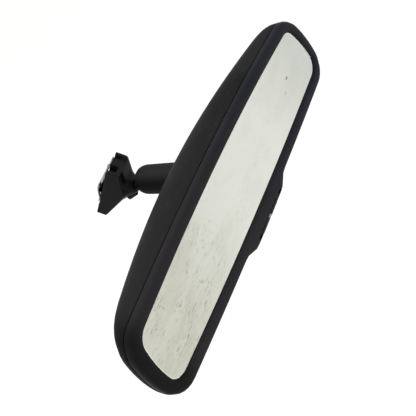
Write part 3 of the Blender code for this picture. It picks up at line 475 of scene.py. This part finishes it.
FINISH = {
    "case": moulded_black("case_black", (0.0130, 0.0130, 0.0135), 0.50, (0.0165, 0.0158, 0.0158),
                          (0.0036, 0.0040, 0.0046), 0.55, 0.03),
    "bezel": moulded_black("bezel_black", (0.0120, 0.0120, 0.0135), 0.42, (0.0190, 0.0170, 0.0182),
                           (0.0088, 0.0100, 0.0158), 0.40, 0.05),
    "glass": silvered_glass(),
    # The glass's light ground edge, partly a painted highlight.
    "ground_edge_highlight": plain_plastic("ground_glass_edge_highlight", (0.80, 0.80, 0.74), 0.5, 0.3),
    "tube": cast_black("tube_black", (0.0200, 0.0200, 0.0205), 0.50, 0.015, (0.82, 0.57), 0.05),
    "foot": cast_black("foot_black", (0.0086, 0.0083, 0.0090), 0.42, 0.07),
    "sleeve": cast_black("oiled_black", (0.0015, 0.0016, 0.0018), 0.12, 0.08),
    "ball": bare_steel("burnished_steel", (0.20, 0.20, 0.20), 0.32, 0.5),
    "zinc": bare_steel("zinc_plate", (0.52, 0.52, 0.50), 0.32, 0.3),
    "spring": bare_steel("bright_spring_steel", (0.34, 0.335, 0.32), 0.30, 0.95),
    "inner": plain_plastic("inner_black", (0.020, 0.020, 0.020), 0.55),
    "nylon": plain_plastic("natural_nylon", (0.52, 0.50, 0.44), 0.45),
    "chip": plain_plastic("chip_black", (0.020, 0.020, 0.021), 0.38),
    "button": plain_plastic("button_black", (0.0150, 0.0150, 0.0155), 0.45, 0.16),
    "foam": plain_plastic("foam_black", (0.030, 0.030, 0.030), 0.95, 0.2, 1.2),
    "board": board_green(),
    "lens": clear_lens("lens_clear", (0.70, 0.72, 0.68), 1.2),
    "smoked": clear_lens("smoked_lens", (0.10, 0.10, 0.10), 2.2),
    "contact": bare_steel("tinned_contact", (0.70, 0.60, 0.36), 0.28, 0.2),
    "back_glass": clear_lens("back_glass", (0.30, 0.34, 0.31), 1.1),
}


# ---------------------------------------------------------------- mesh helpers
def link(name, data, at):
    thing = bpy.data.objects.new(name, data)
    bpy.context.scene.collection.objects.link(thing)
    thing.matrix_world = at
    return thing


def shade(piece, sharp_angle):
    """Shade smooth, with edges sharper than the angle left crisp."""
    piece.data.shade_smooth()
    piece.data.set_sharp_from_angle(angle=radians(sharp_angle))


def piece_from(name, bm, finish, at, sharp_angle=35.0):
    """Make a piece from a bmesh in millimetres; `at` is its frame's matrix in metres."""
    bmesh.ops.scale(bm, vec=(MM, MM, MM), verts=bm.verts)
    mesh = bpy.data.meshes.new(name)
    bm.to_mesh(mesh)
    bm.free()
    piece = link(name, mesh, at)
    shade(piece, sharp_angle)
    if finish:
        mesh.materials.append(FINISH[finish])
    return piece


def show(piece, body, slot, *nodes):
    """Attach a finished piece to the body it rides on and hide the nodes it stands for.

    The foot's own turn goes into its pieces' meshes, so that the box around them is a close one. The
    slot is not used.
    """
    if body == "foot":
        piece.data.transform(piece.matrix_world)
        piece.matrix_world = Matrix()
    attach(piece, body)
    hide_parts(*nodes)


def circle(radius, height, steps):
    turns = [2 * pi * k / steps for k in range(steps)]
    return [(radius * cos(turn), radius * sin(turn), height) for turn in turns]


def bridge(bm, row, following):
    """Faces between two rings of vertices."""
    for k in range(len(row)):
        n = (k + 1) % len(row)
        bm.faces.new((row[k], row[n], following[n], following[k]))


def skin(bm, rings, joined=False):
    """Skin rings of equal length into the bmesh; returns the rows of vertices."""
    rows = [[bm.verts.new(point) for point in ring] for ring in rings]
    for row, following in list(zip(rows, rows[1:])) + ([(rows[-1], rows[0])] if joined else []):
        bridge(bm, row, following)
    return rows


def turned(name, profile, finish, at, steps=64, closed=False, sharp_angle=35.0):
    """A turned piece from (radius, height) points about z; a point of no radius is one vertex."""
    bm = bmesh.new()
    rings = [[bm.verts.new(point) for point in circle(radius, height, steps if radius else 1)]
             for radius, height in profile]
    for ring, following in list(zip(rings, rings[1:])) + ([(rings[-1], rings[0])] if closed else []):
        for k in range(steps):
            n = (k + 1) % steps
            corners = [ring[k % len(ring)], ring[n % len(ring)],
                       following[n % len(following)], following[k % len(following)]]
            unique = list(dict.fromkeys(corners))
            if len(unique) > 2:
                bm.faces.new(unique)
    bmesh.ops.recalc_face_normals(bm, faces=bm.faces)
    return piece_from(name, bm, finish, at, sharp_angle)


def block(name, low, high, finish, at, bevel=0.0):
    """A box whose edges are rounded where a bevel is given."""
    bm = bmesh.new()
    bmesh.ops.create_cube(bm, size=1.0)
    low, high = Vector(low), Vector(high)
    bmesh.ops.scale(bm, vec=high - low, verts=bm.verts)
    bmesh.ops.translate(bm, vec=(low + high) / 2, verts=bm.verts)
    if bevel:
        bmesh.ops.bevel(bm, geom=bm.edges[:], offset=bevel, segments=3, profile=0.5, affect="EDGES")
    return piece_from(name, bm, finish, at, 40.0)


def box_tool(low, high, at, bevel=0.0):
    return block("tool", low, high, None, at, bevel)


def rod_tool(start, end, radius, at, steps=48):
    start, end = Vector(start), Vector(end)
    bm = bmesh.new()
    bmesh.ops.create_cone(bm, cap_ends=True, segments=steps, radius1=radius, radius2=radius,
                          depth=(end - start).length)
    aim = (end - start).to_track_quat("Z", "Y").to_matrix().to_4x4()
    bmesh.ops.transform(bm, matrix=Matrix.Translation((start + end) / 2) @ aim, verts=bm.verts)
    return piece_from("tool", bm, None, at)


def carve(piece, tool, operation="DIFFERENCE"):
    """Cut or join with a tool and remove the tool."""
    change = piece.modifiers.new("carve", "BOOLEAN")
    change.operation = operation
    change.solver = "EXACT"
    change.object = tool
    settle(piece)
    bpy.data.objects.remove(tool, do_unlink=True)


def settle(piece):
    """Apply a piece's modifiers."""
    bpy.context.view_layer.update()
    done = bpy.data.meshes.new_from_object(
        piece.evaluated_get(bpy.context.evaluated_depsgraph_get()))
    old = piece.data
    piece.modifiers.clear()
    piece.data = done
    done.name = piece.name
    bpy.data.meshes.remove(old)


def solidify(piece, thickness, offset):
    """Give an open sheet a thickness; offset -1 puts it behind its faces, 1 in front."""
    wall = piece.modifiers.new("wall", "SOLIDIFY")
    wall.thickness = thickness * MM
    wall.offset = offset
    settle(piece)


def round_edges(piece, width, angle=40.0):
    """Round the sharp edges a little and shade the piece smooth."""
    edge = piece.modifiers.new("rounded", "BEVEL")
    edge.width = width * MM
    edge.segments = 2
    edge.limit_method = "ANGLE"
    edge.angle_limit = radians(angle)
    edge.use_clamp_overlap = True
    settle(piece)
    shade(piece, 50.0)


# ---------------------------------------------------------------- outlines
def clamp(value, low=0.0, high=1.0):
    return max(low, min(high, value))


def bowed(x, z, grow, chin):
    """Bend a point of the straight-sided outline into the head's bowed one."""
    level = clamp((z - GLASS_BOTTOM) / (GLASS_TOP - GLASS_BOTTOM))
    half = GLASS_BOTTOM_HALF + (GLASS_TOP_HALF - GLASS_BOTTOM_HALF) * level + grow * END_SPREAD
    across = clamp(x / half, -1.0, 1.0)
    crown = 1.0 - across * across
    ramp = clamp((CHIN_HALF - abs(x)) / (CHIN_HALF - CHIN_FLAT_HALF))
    z += level * TOP_BOW * crown - (1.0 - level) * BOTTOM_BOW * crown
    z -= chin * CHIN_DROP * (1.0 - level) * ramp * ramp * (3.0 - 2.0 * ramp)
    x += GLASS_SHIFT * max(0.0, -across) * max(0.0, 1.0 - grow / BORDER)
    x += abs(across) ** 3 * END_BOW * 4.0 * level * (1.0 - level) * (1.0 if across > 0 else -1.0)
    return x, z


def head_outline(grow, chin=0.0):
    """The mirror's outline, `grow` outside the visible glass, as (x, z) points."""
    corners = [(-GLASS_TOP_HALF, GLASS_TOP, TOP_CORNER_R),
               (GLASS_TOP_HALF, GLASS_TOP, FAR_CORNER_R + grow * FAR_CORNER_GROWTH),
               (GLASS_BOTTOM_HALF, GLASS_BOTTOM, BOTTOM_CORNER_R),
               (-GLASS_BOTTOM_HALF, GLASS_BOTTOM, BOTTOM_CORNER_R)]
    corners = [(x + grow * END_SPREAD * (1 if x > 0 else -1),
                z + grow * (TOP_SPREAD if z > 0 else -BOTTOM_SPREAD), max(r + grow, 1.0))
               for x, z, r in corners]
    arcs = []
    for k, (x, z, radius) in enumerate(corners):
        here = Vector((x, z))
        before = (Vector(corners[k - 1][:2]) - here).normalized()
        after = (Vector(corners[(k + 1) % 4][:2]) - here).normalized()
        half_angle = before.angle(after) / 2
        centre = here + (before + after).normalized() * (radius / sin(half_angle))
        first = here + before * (radius / tan(half_angle)) - centre
        last = here + after * (radius / tan(half_angle)) - centre
        sweep = first.angle_signed(last)
        arcs.append([centre + Matrix.Rotation(-sweep * s / CORNER_STEPS, 2) @ first
                     for s in range(CORNER_STEPS + 1)])
    points = []
    sides = (TOP_STEPS, END_STEPS, BOTTOM_STEPS, END_STEPS)
    for arc, following, steps in zip(arcs, arcs[1:] + arcs[:1], sides):
        points += arc
        points += [arc[-1].lerp(following[0], s / steps) for s in range(1, steps)]
    return [bowed(x, z, grow, chin) for x, z in points]


def head_ring(grow, y, chin=0.0):
    return [(x, y, z) for x, z in head_outline(grow, chin)]


def smooth_curve(points, steps):
    """A Catmull-Rom curve through the points."""
    padded = [points[0]] + list(points) + [points[-1]]
    curve = []
    for before, here, following, beyond in zip(padded, padded[1:], padded[2:], padded[3:]):
        for s in range(steps):
            t = s / steps
            curve.append(tuple(0.5 * (2 * b + (c - a) * t + (2 * a - 5 * b + 4 * c - d) * t * t
                                      + (3 * b - a - 3 * c + d) * t ** 3)
                               for a, b, c, d in zip(before, here, following, beyond)))
    curve.append(tuple(points[-1]))
    return curve


def arc_points(radius, start, end, steps):
    """(radius, height) points on a sphere, between angles from +z."""
    angles = [start + (end - start) * s / steps for s in range(steps + 1)]
    return [(radius * sin(a), radius * cos(a)) for a in angles]


# ---------------------------------------------------------------- head
def make_bezel():
    """The bezel: thin lip at the glass, flat front, rolled edge and a wall back to the seam."""
    bm = bmesh.new()
    skin(bm, [head_ring(*point) for point in smooth_curve(BEZEL_FRONT, 3) + BEZEL_BACK], joined=True)
    bmesh.ops.recalc_face_normals(bm, faces=bm.faces)
    bezel = piece_from("front_bezel_moulding", bm, "bezel", HEAD, 60.0)
    for low, high in (NOTCH, *PRY_RECESSES):
        carve(bezel, box_tool(low, high, HEAD))
    shade(bezel, 42.0)
    show(bezel, "head", "bezel_plastic", "front_bezel")


def case_rise(shrink):
    """How far the case has risen to its crown where its outline has shrunk so far."""
    return (1.0 - shrink ** CASE_FULLNESS) ** (1.0 / CASE_FULLNESS)


def case_point(x, z, shrink):
    x, z = x * shrink, CROWN_Z + (z - CROWN_Z) * shrink
    depth = CASE_END_DEPTH + (CASE_DEPTH - CASE_END_DEPTH) * (1.0 - (x / CASE_REACH) ** 2)
    return x, SEAM_Y + GAP + CASE_COLLAR + (depth - CASE_COLLAR) * case_rise(shrink), z


def make_case():
    """The bowed case: fine outer skin, 2 mm wall, and its three openings."""
    rings = [head_ring(BORDER - CASE_LIP, SEAM_Y + GAP + CASE_LIP, 1.0),
             head_ring(BORDER, SEAM_Y + GAP + 0.7, 1.0)]
    for k in range(CASE_RINGS):
        shrink = max(cos(pi / 2 * k / CASE_RINGS) ** CASE_PACE, CASE_CROWN_SHARE)
        chin = clamp(1.0 - case_rise(shrink)) ** 1.5
        rings.append([case_point(x, z, shrink) for x, z in head_outline(BORDER, chin)])
    bm = bmesh.new()
    rows = skin(bm, rings)
    bm.faces.new(rows[-1])
    bmesh.ops.recalc_face_normals(bm, faces=bm.faces)
    case = piece_from("rear_case_moulding", bm, "case", HEAD, 60.0)
    solidify(case, CASE_WALL, -1.0 if outward(case) else 1.0)
    carve(case, rod_tool((0, 30, ARM_Z), (0, 50, ARM_Z), ARM_HOLE_R, HEAD, 96))
    x, z = WINDOW_AT
    carve(case, rod_tool((x, 28, z), (x, 45, z), WINDOW_HOLE_R, HEAD))
    x, z = SOCKET_AT
    half_x, half_z = (half + SOCKET_CLEARANCE for half in SOCKET_HALF)
    carve(case, box_tool((x - half_x, 30, z - half_z), (x + half_x, 45, z + half_z), HEAD))
    shade(case, 40.0)
    show(case, "head", "case_plastic", "rear_housing")


def outward(piece):
    """True when the open shell's faces point away from its middle."""
    middle = sum((v.co for v in piece.data.vertices), Vector()) / len(piece.data.vertices)
    return sum((face.center - middle).normalized().dot(face.normal) * face.area
               for face in piece.data.polygons) > 0


def make_glass():
    """The silvered front glass, with a light band at its visible border for its ground edge and a
    painted highlight, put only above and at the low end, where the light catches it.
    """
    bm = bmesh.new()
    rows = skin(bm, [head_ring(grow, y) for grow, y in GLASS_SECTION])
    rim_faces = bm.faces[-len(rows[-1]):]
    bm.faces.new(rows[0])
    bm.faces.new(rows[-1])
    bmesh.ops.recalc_face_normals(bm, faces=bm.faces)
    for face in rim_faces:
        middle = face.calc_center_median()
        # Painted highlight: the light ground edge only where the light catches it, above and at the
        # low end.
        face.material_index = int(middle.z > LIT_EDGE_ABOVE_Z or middle.x < LIT_EDGE_BEYOND_X)
    glass = piece_from("silvered_front_glass", bm, "glass", HEAD, 30.0)
    glass.data.materials.append(FINISH["ground_edge_highlight"])
    show(glass, "head", "mirror_glass", "front_glass")


def control(name, low, high, finish):
    """A bar along x whose front lower corner follows the bezel's rolled edge."""
    section = smooth_curve(CONTROL_ROLL, 3) + CONTROL_BACK
    middle_y, middle_z = CONTROL_MIDDLE
    bm = bmesh.new()
    rows = skin(bm, [[(x, y * pull + middle_y * (1 - pull), z * pull + middle_z * (1 - pull))
                      for y, z in section]
                     for x, pull in ((low, CONTROL_END_SHARE), (low + CONTROL_SOFT_END, 1.0),
                                     (high - CONTROL_SOFT_END, 1.0), (high, CONTROL_END_SHARE))])
    bm.faces.new(rows[0])
    bm.faces.new(rows[-1])
    bmesh.ops.recalc_face_normals(bm, faces=bm.faces)
    return piece_from(name, bm, finish, HEAD, 45.0)


def make_buttons():
    """Two press buttons with soft edges, and the smoked indicator between them."""
    for name, side in (("left", -1), ("right", 1)):
        low, high = sorted((side * BUTTON_X[0], side * BUTTON_X[1]))
        middle = (low + high) / 2
        button = control(f"button_{name}_cap", low, high, "button")
        stem = box_tool((middle - STEM_HALF, STEM_Y[0], BUTTON_TOP - 1),
                        (middle + STEM_HALF, STEM_Y[1], STEM_TOP), HEAD)
        carve(button, stem, "UNION")
        show(button, f"{name}_button", "button_rubber", f"button_{name}")
    lens = control("indicator_window", -LENS_HALF, LENS_HALF, "smoked")
    show(lens, "head", "lens", "indicator_lens")


def make_socket():
    """The wiring socket's shroud with its keys, and the contact pins in it."""
    x, z = SOCKET_AT
    half_x, half_z = SOCKET_HALF
    back, mouth = SOCKET_Y
    pins_x = [x + (k - (PIN_COUNT - 1) / 2) * PIN_PITCH for k in range(PIN_COUNT)]
    shroud = block("wiring_shroud", (x - half_x, back, z - half_z), (x + half_x, mouth, z + half_z),
                   "inner", HEAD, 0.7)
    carve(shroud, box_tool((x - half_x + SOCKET_WALL, back + 2.4, z - half_z + SOCKET_WALL),
                           (x + half_x - SOCKET_WALL, mouth + 4, z + half_z - SOCKET_WALL), HEAD, 0.3))
    for pin_x in pins_x:
        carve(shroud, box_tool((pin_x - PIN_HOLE_HALF, back - 4, z - PIN_HOLE_HALF),
                               (pin_x + PIN_HOLE_HALF, back + 6, z + PIN_HOLE_HALF), HEAD))
    for key_x in SOCKET_KEYS_X:
        carve(shroud, box_tool((x + key_x - 0.5, back + 3, z - half_z + 1.0),
                               (x + key_x + 0.5, mouth - 1.0, z - half_z + 1.8), HEAD), "UNION")
    round_edges(shroud, 0.12)
    show(shroud, "head", "inner_plastic", "wiring_socket")
    for number, pin_x in enumerate(pins_x, 1):
        pin = block(f"contact_pin_{number}", (pin_x - PIN_HALF, PIN_Y[0], z - PIN_HALF),
                    (pin_x + PIN_HALF, PIN_Y[1], z + PIN_HALF), "contact", HEAD, 0.24)
        show(pin, "head", "contact", f"socket_pin_{number}")


def make_light_window():
    """The light guide that looks out of the case's back."""
    x, z = WINDOW_AT
    at = HEAD @ Matrix.Translation(Vector((x, 13.2, z)) * MM) @ Matrix.Rotation(radians(-90), 4, "X")
    guide = turned("light_guide", [(0, 22.7), (1.4, 22.65), (2.2, 22.4), (2.55, 22.0), (2.6, 21.4),
                                   (2.6, 0.2), (2.4, 0.0), (0, 0)], "lens", at, 40)
    show(guide, "head", "lens", "ambient_window")


# ---------------------------------------------------------------- arm
def make_tube():
    """The arm tube: a straight barrel whose ends are spun in over the balls."""
    outer = smooth_curve(TUBE_OUTER, 5)
    profile = outer + [(r, -ARM_SPAN - z) for r, z in reversed(outer)]
    profile += [(r, -ARM_SPAN - z) for r, z in reversed(TUBE_INNER)] + TUBE_INNER
    at = FOOT_JOINT @ Matrix.Rotation(radians(-90), 4, "X")
    tube = turned("arm_barrel", profile, "tube", at, 128, closed=True, sharp_angle=50)
    show(tube, "arm", "arm_paint", "arm_tube")


def make_foot_ball():
    """The ball and neck that grow out of the foot's shoulder."""
    at = (FOOT @ Matrix.Translation(FOOT_BALL_IN_FOOT * MM)
          @ Matrix.Rotation(radians(-90) - NECK_LEAN, 4, "X"))
    length = SHOULDER_REACH + NECK_ROOT
    neck_angle = asin(NECK_R / BALL_R)
    neck_start = BALL_R * cos(neck_angle)
    profile = [(0.0, length), (NECK_R, length), (NECK_R, neck_start + 1.2),
               (NECK_R + 0.05, neck_start + 0.5)]
    profile += arc_points(BALL_R, neck_angle + 0.03, pi - 0.02, 40) + [(0.0, -BALL_R)]
    show(turned("foot_ball_and_neck", profile, "foot", at), "foot", "ball_steel", "foot_ball_stud")


def make_joints():
    """Liners, cups and spring seats at both ends of the arm."""
    for end, joint, turn in (("foot", FOOT_JOINT, -90), ("head", HEAD_JOINT, 90)):
        at = joint @ Matrix.Rotation(radians(turn), 4, "X")
        for part, inner, outer, finish, slot in SHELLS:
            profile = (arc_points(outer, SHELL_MOUTH, SHELL_BACK, 24)
                       + arc_points(inner, SHELL_BACK, SHELL_MOUTH, 24))
            shell = turned(f"{end}_{part}_shell", profile, finish, at, closed=True)
            show(shell, f"{end}_{part}", slot, f"{end}_ball_{part}")
        washer = turned(f"{end}_spring_washer", SPRING_SEAT, "zinc", at, closed=True)
        show(washer, "arm", "zinc_steel", f"{end}_spring_seat")


def make_coil():
    """The pressure spring as a smooth round wire."""
    curve = bpy.data.curves.new("pressure_coil", "CURVE")
    curve.dimensions = "3D"
    curve.bevel_depth = COIL_WIRE_R * MM
    curve.bevel_resolution = 4
    curve.use_fill_caps = True
    last = COIL_TURNS * COIL_STEPS
    spline = curve.splines.new("POLY")
    spline.points.add(last)
    for k, point in enumerate(spline.points):
        turn = 2 * pi * k / COIL_STEPS
        y = -COIL_INSET - (ARM_SPAN - 2 * COIL_INSET) * k / last
        point.co = (COIL_R * cos(turn) * MM, y * MM, COIL_R * sin(turn) * MM, 1.0)
    curve.materials.append(FINISH["zinc"])
    show(link("pressure_coil", curve, FOOT_JOINT), "arm", "zinc_steel", "pressure_spring")


# ---------------------------------------------------------------- foot
def rounded_rectangle(half_x, low, high, radius, corner_steps=8, side_steps=20):
    """(x, z) points of a rounded rectangle, with steps along its two upright sides."""
    centres = [(half_x - radius, high - radius, 0), (-half_x + radius, high - radius, 90),
               (-half_x + radius, low + radius, 180), (half_x - radius, low + radius, 270)]
    points = []
    for x, z, start in centres:
        for s in range(corner_steps + 1):
            angle = radians(start + 90 * s / corner_steps)
            points.append((x + radius * cos(angle), z + radius * sin(angle)))
        if start in (90, 270):
            way = 1 if start == 270 else -1
            points += [(half_x * way, low + radius + (high - low - 2 * radius)
                        * (s if way > 0 else side_steps - s) / side_steps)
                       for s in range(1, side_steps)]
    return points


def flank_depth(height):
    """How deep the foot's flank is at a height up the slope."""
    for (low, low_depth), (high, high_depth) in zip(FOOT_FLANK, FOOT_FLANK[1:]):
        if height <= high:
            return low_depth + (high_depth - low_depth) * (height - low) / (high - low)
    return FOOT_FLANK[-1][1]


def make_foot():
    """The cast foot: wedge body, waist, shoulder, and the slots of its up-slope end."""
    face = rounded_rectangle(FOOT_HALF, *FOOT_Z, 2.5)
    rim = [(x, -flank_depth(z), z) for x, z in face]
    axis = Vector((0.0, cos(NECK_LEAN), -sin(NECK_LEAN)))
    up = Vector((0.0, sin(NECK_LEAN), cos(NECK_LEAN)))
    centre = FOOT_BALL_IN_FOOT + axis * SHOULDER_REACH
    shoulder = [centre + Vector((x, 0, 0)) + up * z for x, z in rounded_rectangle(6.2, -5.0, 6.0, 4.0)]
    waist = [(x, -19.0 + 0.45 * abs(z - 18.0), z) for x, z in rounded_rectangle(9.0, 8.0, 28.0, 4.0)]
    bm = bmesh.new()
    rows = skin(bm, [[(x, 0.0, z) for x, z in face], rim, waist, shoulder])
    bm.faces.new(rows[0])
    bm.faces.new(rows[-1])
    bmesh.ops.recalc_face_normals(bm, faces=bm.faces)
    foot = piece_from("cast_foot", bm, "foot", FOOT)
    for low, high in FOOT_CUTS:
        carve(foot, box_tool(low, high, FOOT))
    carve(foot, rod_tool(centre - axis * 4, centre + axis * (NECK_ROOT + GAP), NECK_R + GAP, FOOT))
    for z in RIVETS_Z:
        carve(foot, rod_tool((0, -6.0, z), (0, 4.0, z), RIVET_HOLE_R, FOOT, 24))
    carve(foot, box_tool(*FOOT_WEB, FOOT), "UNION")
    along = (BOSS_END - BOSS_NEAR).normalized()
    carve(foot, rod_tool(BOSS_NEAR - along * 0.5, BOSS_END + along * 3, BOSS_HOLE_R, FOOT))
    voxels = foot.modifiers.new("cast", "REMESH")
    voxels.mode = "VOXEL"
    voxels.voxel_size = FOOT_VOXEL * MM
    voxels.adaptivity = 0.0
    ease = foot.modifiers.new("eased", "CORRECTIVE_SMOOTH")
    ease.iterations = FOOT_EASING
    ease.use_only_smooth = True
    settle(foot)
    foot.data.materials.clear()
    foot.data.materials.append(FINISH["foot"])
    foot.data.shade_smooth()
    show(foot, "foot", "foot_black", "mount_foot")


def knurled_ring(height, pull):
    """A ring of the sleeve's grooved outside, drawn in by `pull`."""
    ring = []
    for k in range(SLEEVE_STEPS):
        turn = 2 * pi * k / SLEEVE_STEPS
        groove = KNURL_DEPTH * max(0.0, cos(2 * pi * KNURLS * k / SLEEVE_STEPS))
        radius = SLEEVE_R - pull - groove
        ring.append((radius * cos(turn), radius * sin(turn), height))
    return ring


def make_lock_screw():
    """The lock screw in its knurled sleeve, with a hex socket in its end."""
    along = BOSS_END - BOSS_NEAR
    length = along.length
    aim = along.normalized().to_track_quat("Z", "Y").to_matrix().to_4x4()
    at = FOOT @ Matrix.Translation(BOSS_NEAR * MM) @ aim
    bm = bmesh.new()
    outer = skin(bm, [knurled_ring(SLEEVE_START, 0.0), knurled_ring(length - 0.6, 0.0),
                      knurled_ring(length - 0.15, 0.25), knurled_ring(length, 0.6)])
    bore = skin(bm, [circle(SLEEVE_BORE_R, height, SLEEVE_STEPS) for height in (length, SLEEVE_START)])
    bridge(bm, outer[-1], bore[0])
    bridge(bm, bore[-1], outer[0])
    bmesh.ops.recalc_face_normals(bm, faces=bm.faces)
    show(piece_from("screw_sleeve", bm, "sleeve", at), "foot", "foot_black", "mount_foot")
    screw = turned("lock_screw_shank", [(0, length + 0.35), (1.2, length + 0.35), (1.55, length),
                                        (1.55, 2.0), (0, 1.85)], "zinc", at, 48)
    drive = bmesh.new()
    bmesh.ops.create_cone(drive, cap_ends=True, segments=6, radius1=HEX_R, radius2=HEX_R,
                          depth=HEX_LENGTH)
    bmesh.ops.translate(drive, vec=(0, 0, length + 0.2), verts=drive.verts)
    carve(screw, piece_from("tool", drive, None, at))
    show(screw, "foot", "zinc_steel", "lock_screw")


def make_spring_plate():
    """The bowed bright leaf, with its holes and window, and its two rivets."""
    low, high = PLATE_Z
    profile = [(GAP, low)]
    for s in range(LEAF_STEPS + 1):
        share = s / LEAF_STEPS
        profile.append((GAP + LEAF_BULGE * sin(pi * share),
                        low + LEAF_FLAT + (high - low - 2 * LEAF_FLAT) * share))
    profile.append((GAP, high))
    bm = bmesh.new()
    rows = [[bm.verts.new((-PLATE_HALF + 2 * PLATE_HALF * k / LEAF_COLUMNS, y, z))
             for k in range(LEAF_COLUMNS + 1)] for y, z in profile]
    for row, following in zip(rows, rows[1:]):
        for k in range(LEAF_COLUMNS):
            bm.faces.new((row[k], row[k + 1], following[k + 1], following[k]))
    bm.normal_update()
    leaf = piece_from("bright_leaf", bm, "spring", FOOT)
    solidify(leaf, LEAF_THICK, 1.0 if leaf.data.polygons[0].normal.y > 0 else -1.0)
    middle = (low + high) / 2
    for x in LEAF_HOLES_X:
        for z in LEAF_HOLES_Z:
            carve(leaf, rod_tool((x, -4, middle + z), (x, 9, middle + z), LEAF_HOLE_R, FOOT, 20))
    half_x, half_z = LEAF_WINDOW_HALF
    carve(leaf, box_tool((-half_x, -4, middle - half_z), (half_x, 9, middle + half_z), FOOT, 0.9))
    for z in RIVETS_Z:
        carve(leaf, rod_tool((0, -4, z), (0, 4, z), RIVET_HOLE_R, FOOT, 20))
    round_edges(leaf, 0.15, 50.0)
    show(leaf, "foot", "stainless", "spring_plate")
    for number, z in enumerate(RIVETS_Z, 1):
        at = (FOOT @ Matrix.Translation(Vector((0, 2 * GAP + LEAF_THICK, z)) * MM)
              @ Matrix.Rotation(radians(-90), 4, "X"))
        rivet = turned(f"rivet_{number}", smooth_curve(RIVET_HEAD, 4) + RIVET_SHANK, "zinc", at, 40)
        show(rivet, "foot", "zinc_steel", f"plate_rivet_{number}")


# ---------------------------------------------------------------- nodes kept from the frame
KEPT = {
    "inner": ("carrier_plate",),
    "foam": ("foam_pad",),
    "back_glass": ("rear_glass",),
    "board": ("circuit_board", "switch_board"),
    "chip": ("control_chip", "ambient_sensor", "switch_left", "switch_right"),
    "zinc": ("smoothing_capacitor", "board_screw_1", "board_screw_2", "stud_screw_1", "stud_screw_2",
             "stud_screw_3", "stud_screw_4", "case_screw_1", "case_screw_2", "case_screw_3",
             "case_screw_4"),
    "lens": ("glare_sensor", "indicator_lamp"),
    "ball": ("head_ball_stud",),
}


def dress_kept_nodes():
    for finish, nodes in KEPT.items():
        for node in nodes:
            for slot in frame["nodes"][node].material_slots:
                slot.material = FINISH[finish]


# ---------------------------------------------------------------- studio
def make_studio():
    """A pale floor well below the mirror, a white surround and soft lights."""
    bm = bmesh.new()
    bmesh.ops.create_grid(bm, x_segments=1, y_segments=1, size=FLOOR_SIZE)
    floor = piece_from("floor", bm, None, Matrix.Translation((0, 0, CAD_BOX[0][2] - FLOOR_DROP)))
    floor.data.materials.append(Finish("pale_paper", PAPER_WHITE, 0.9, specular=0.1).material)
    world = bpy.data.worlds.new("white_room")
    bpy.context.scene.world = world
    world.use_nodes = True
    background = world.node_tree.nodes["Background"]
    background.inputs["Color"].default_value = SURROUND_WHITE
    background.inputs["Strength"].default_value = SURROUND_STRENGTH
    bpy.context.scene.view_settings.view_transform = "Standard"
    for name, offset, size, power, colour in LAMPS:
        lamp = bpy.data.lights.new(name, "AREA")
        lamp.energy, lamp.size, lamp.color = power, size, colour
        holder = link(name, lamp, Matrix.Translation(HEAD_AT + Vector(offset)))
        holder.rotation_euler = (-Vector(offset)).to_track_quat("-Z", "Y").to_euler()


def make_camera():
    """The camera above and to the left of the glass, rolled so that the head stands on end."""
    right = CAMERA_RIGHT.normalized()
    up = (CAMERA_UP - right * CAMERA_UP.dot(right)).normalized()
    back = right.cross(up)
    place = back * CAMERA_DISTANCE + right * CAMERA_SHIFT[0] + up * CAMERA_SHIFT[1]
    lens = bpy.data.cameras.new("camera")
    lens.lens, lens.sensor_width = LENS_MM, SENSOR_MM
    lens.clip_start = 0.01
    turn = Matrix((right, up, back)).transposed().to_4x4()
    bpy.context.scene.camera = link("camera", lens, Matrix.Translation(HEAD_AT + place * MM) @ turn)


make_bezel()
make_case()
make_glass()
make_buttons()
make_socket()
make_light_window()
make_tube()
make_foot_ball()
make_joints()
make_coil()
make_foot()
make_lock_screw()
make_spring_plate()
dress_kept_nodes()
make_studio()
make_camera()
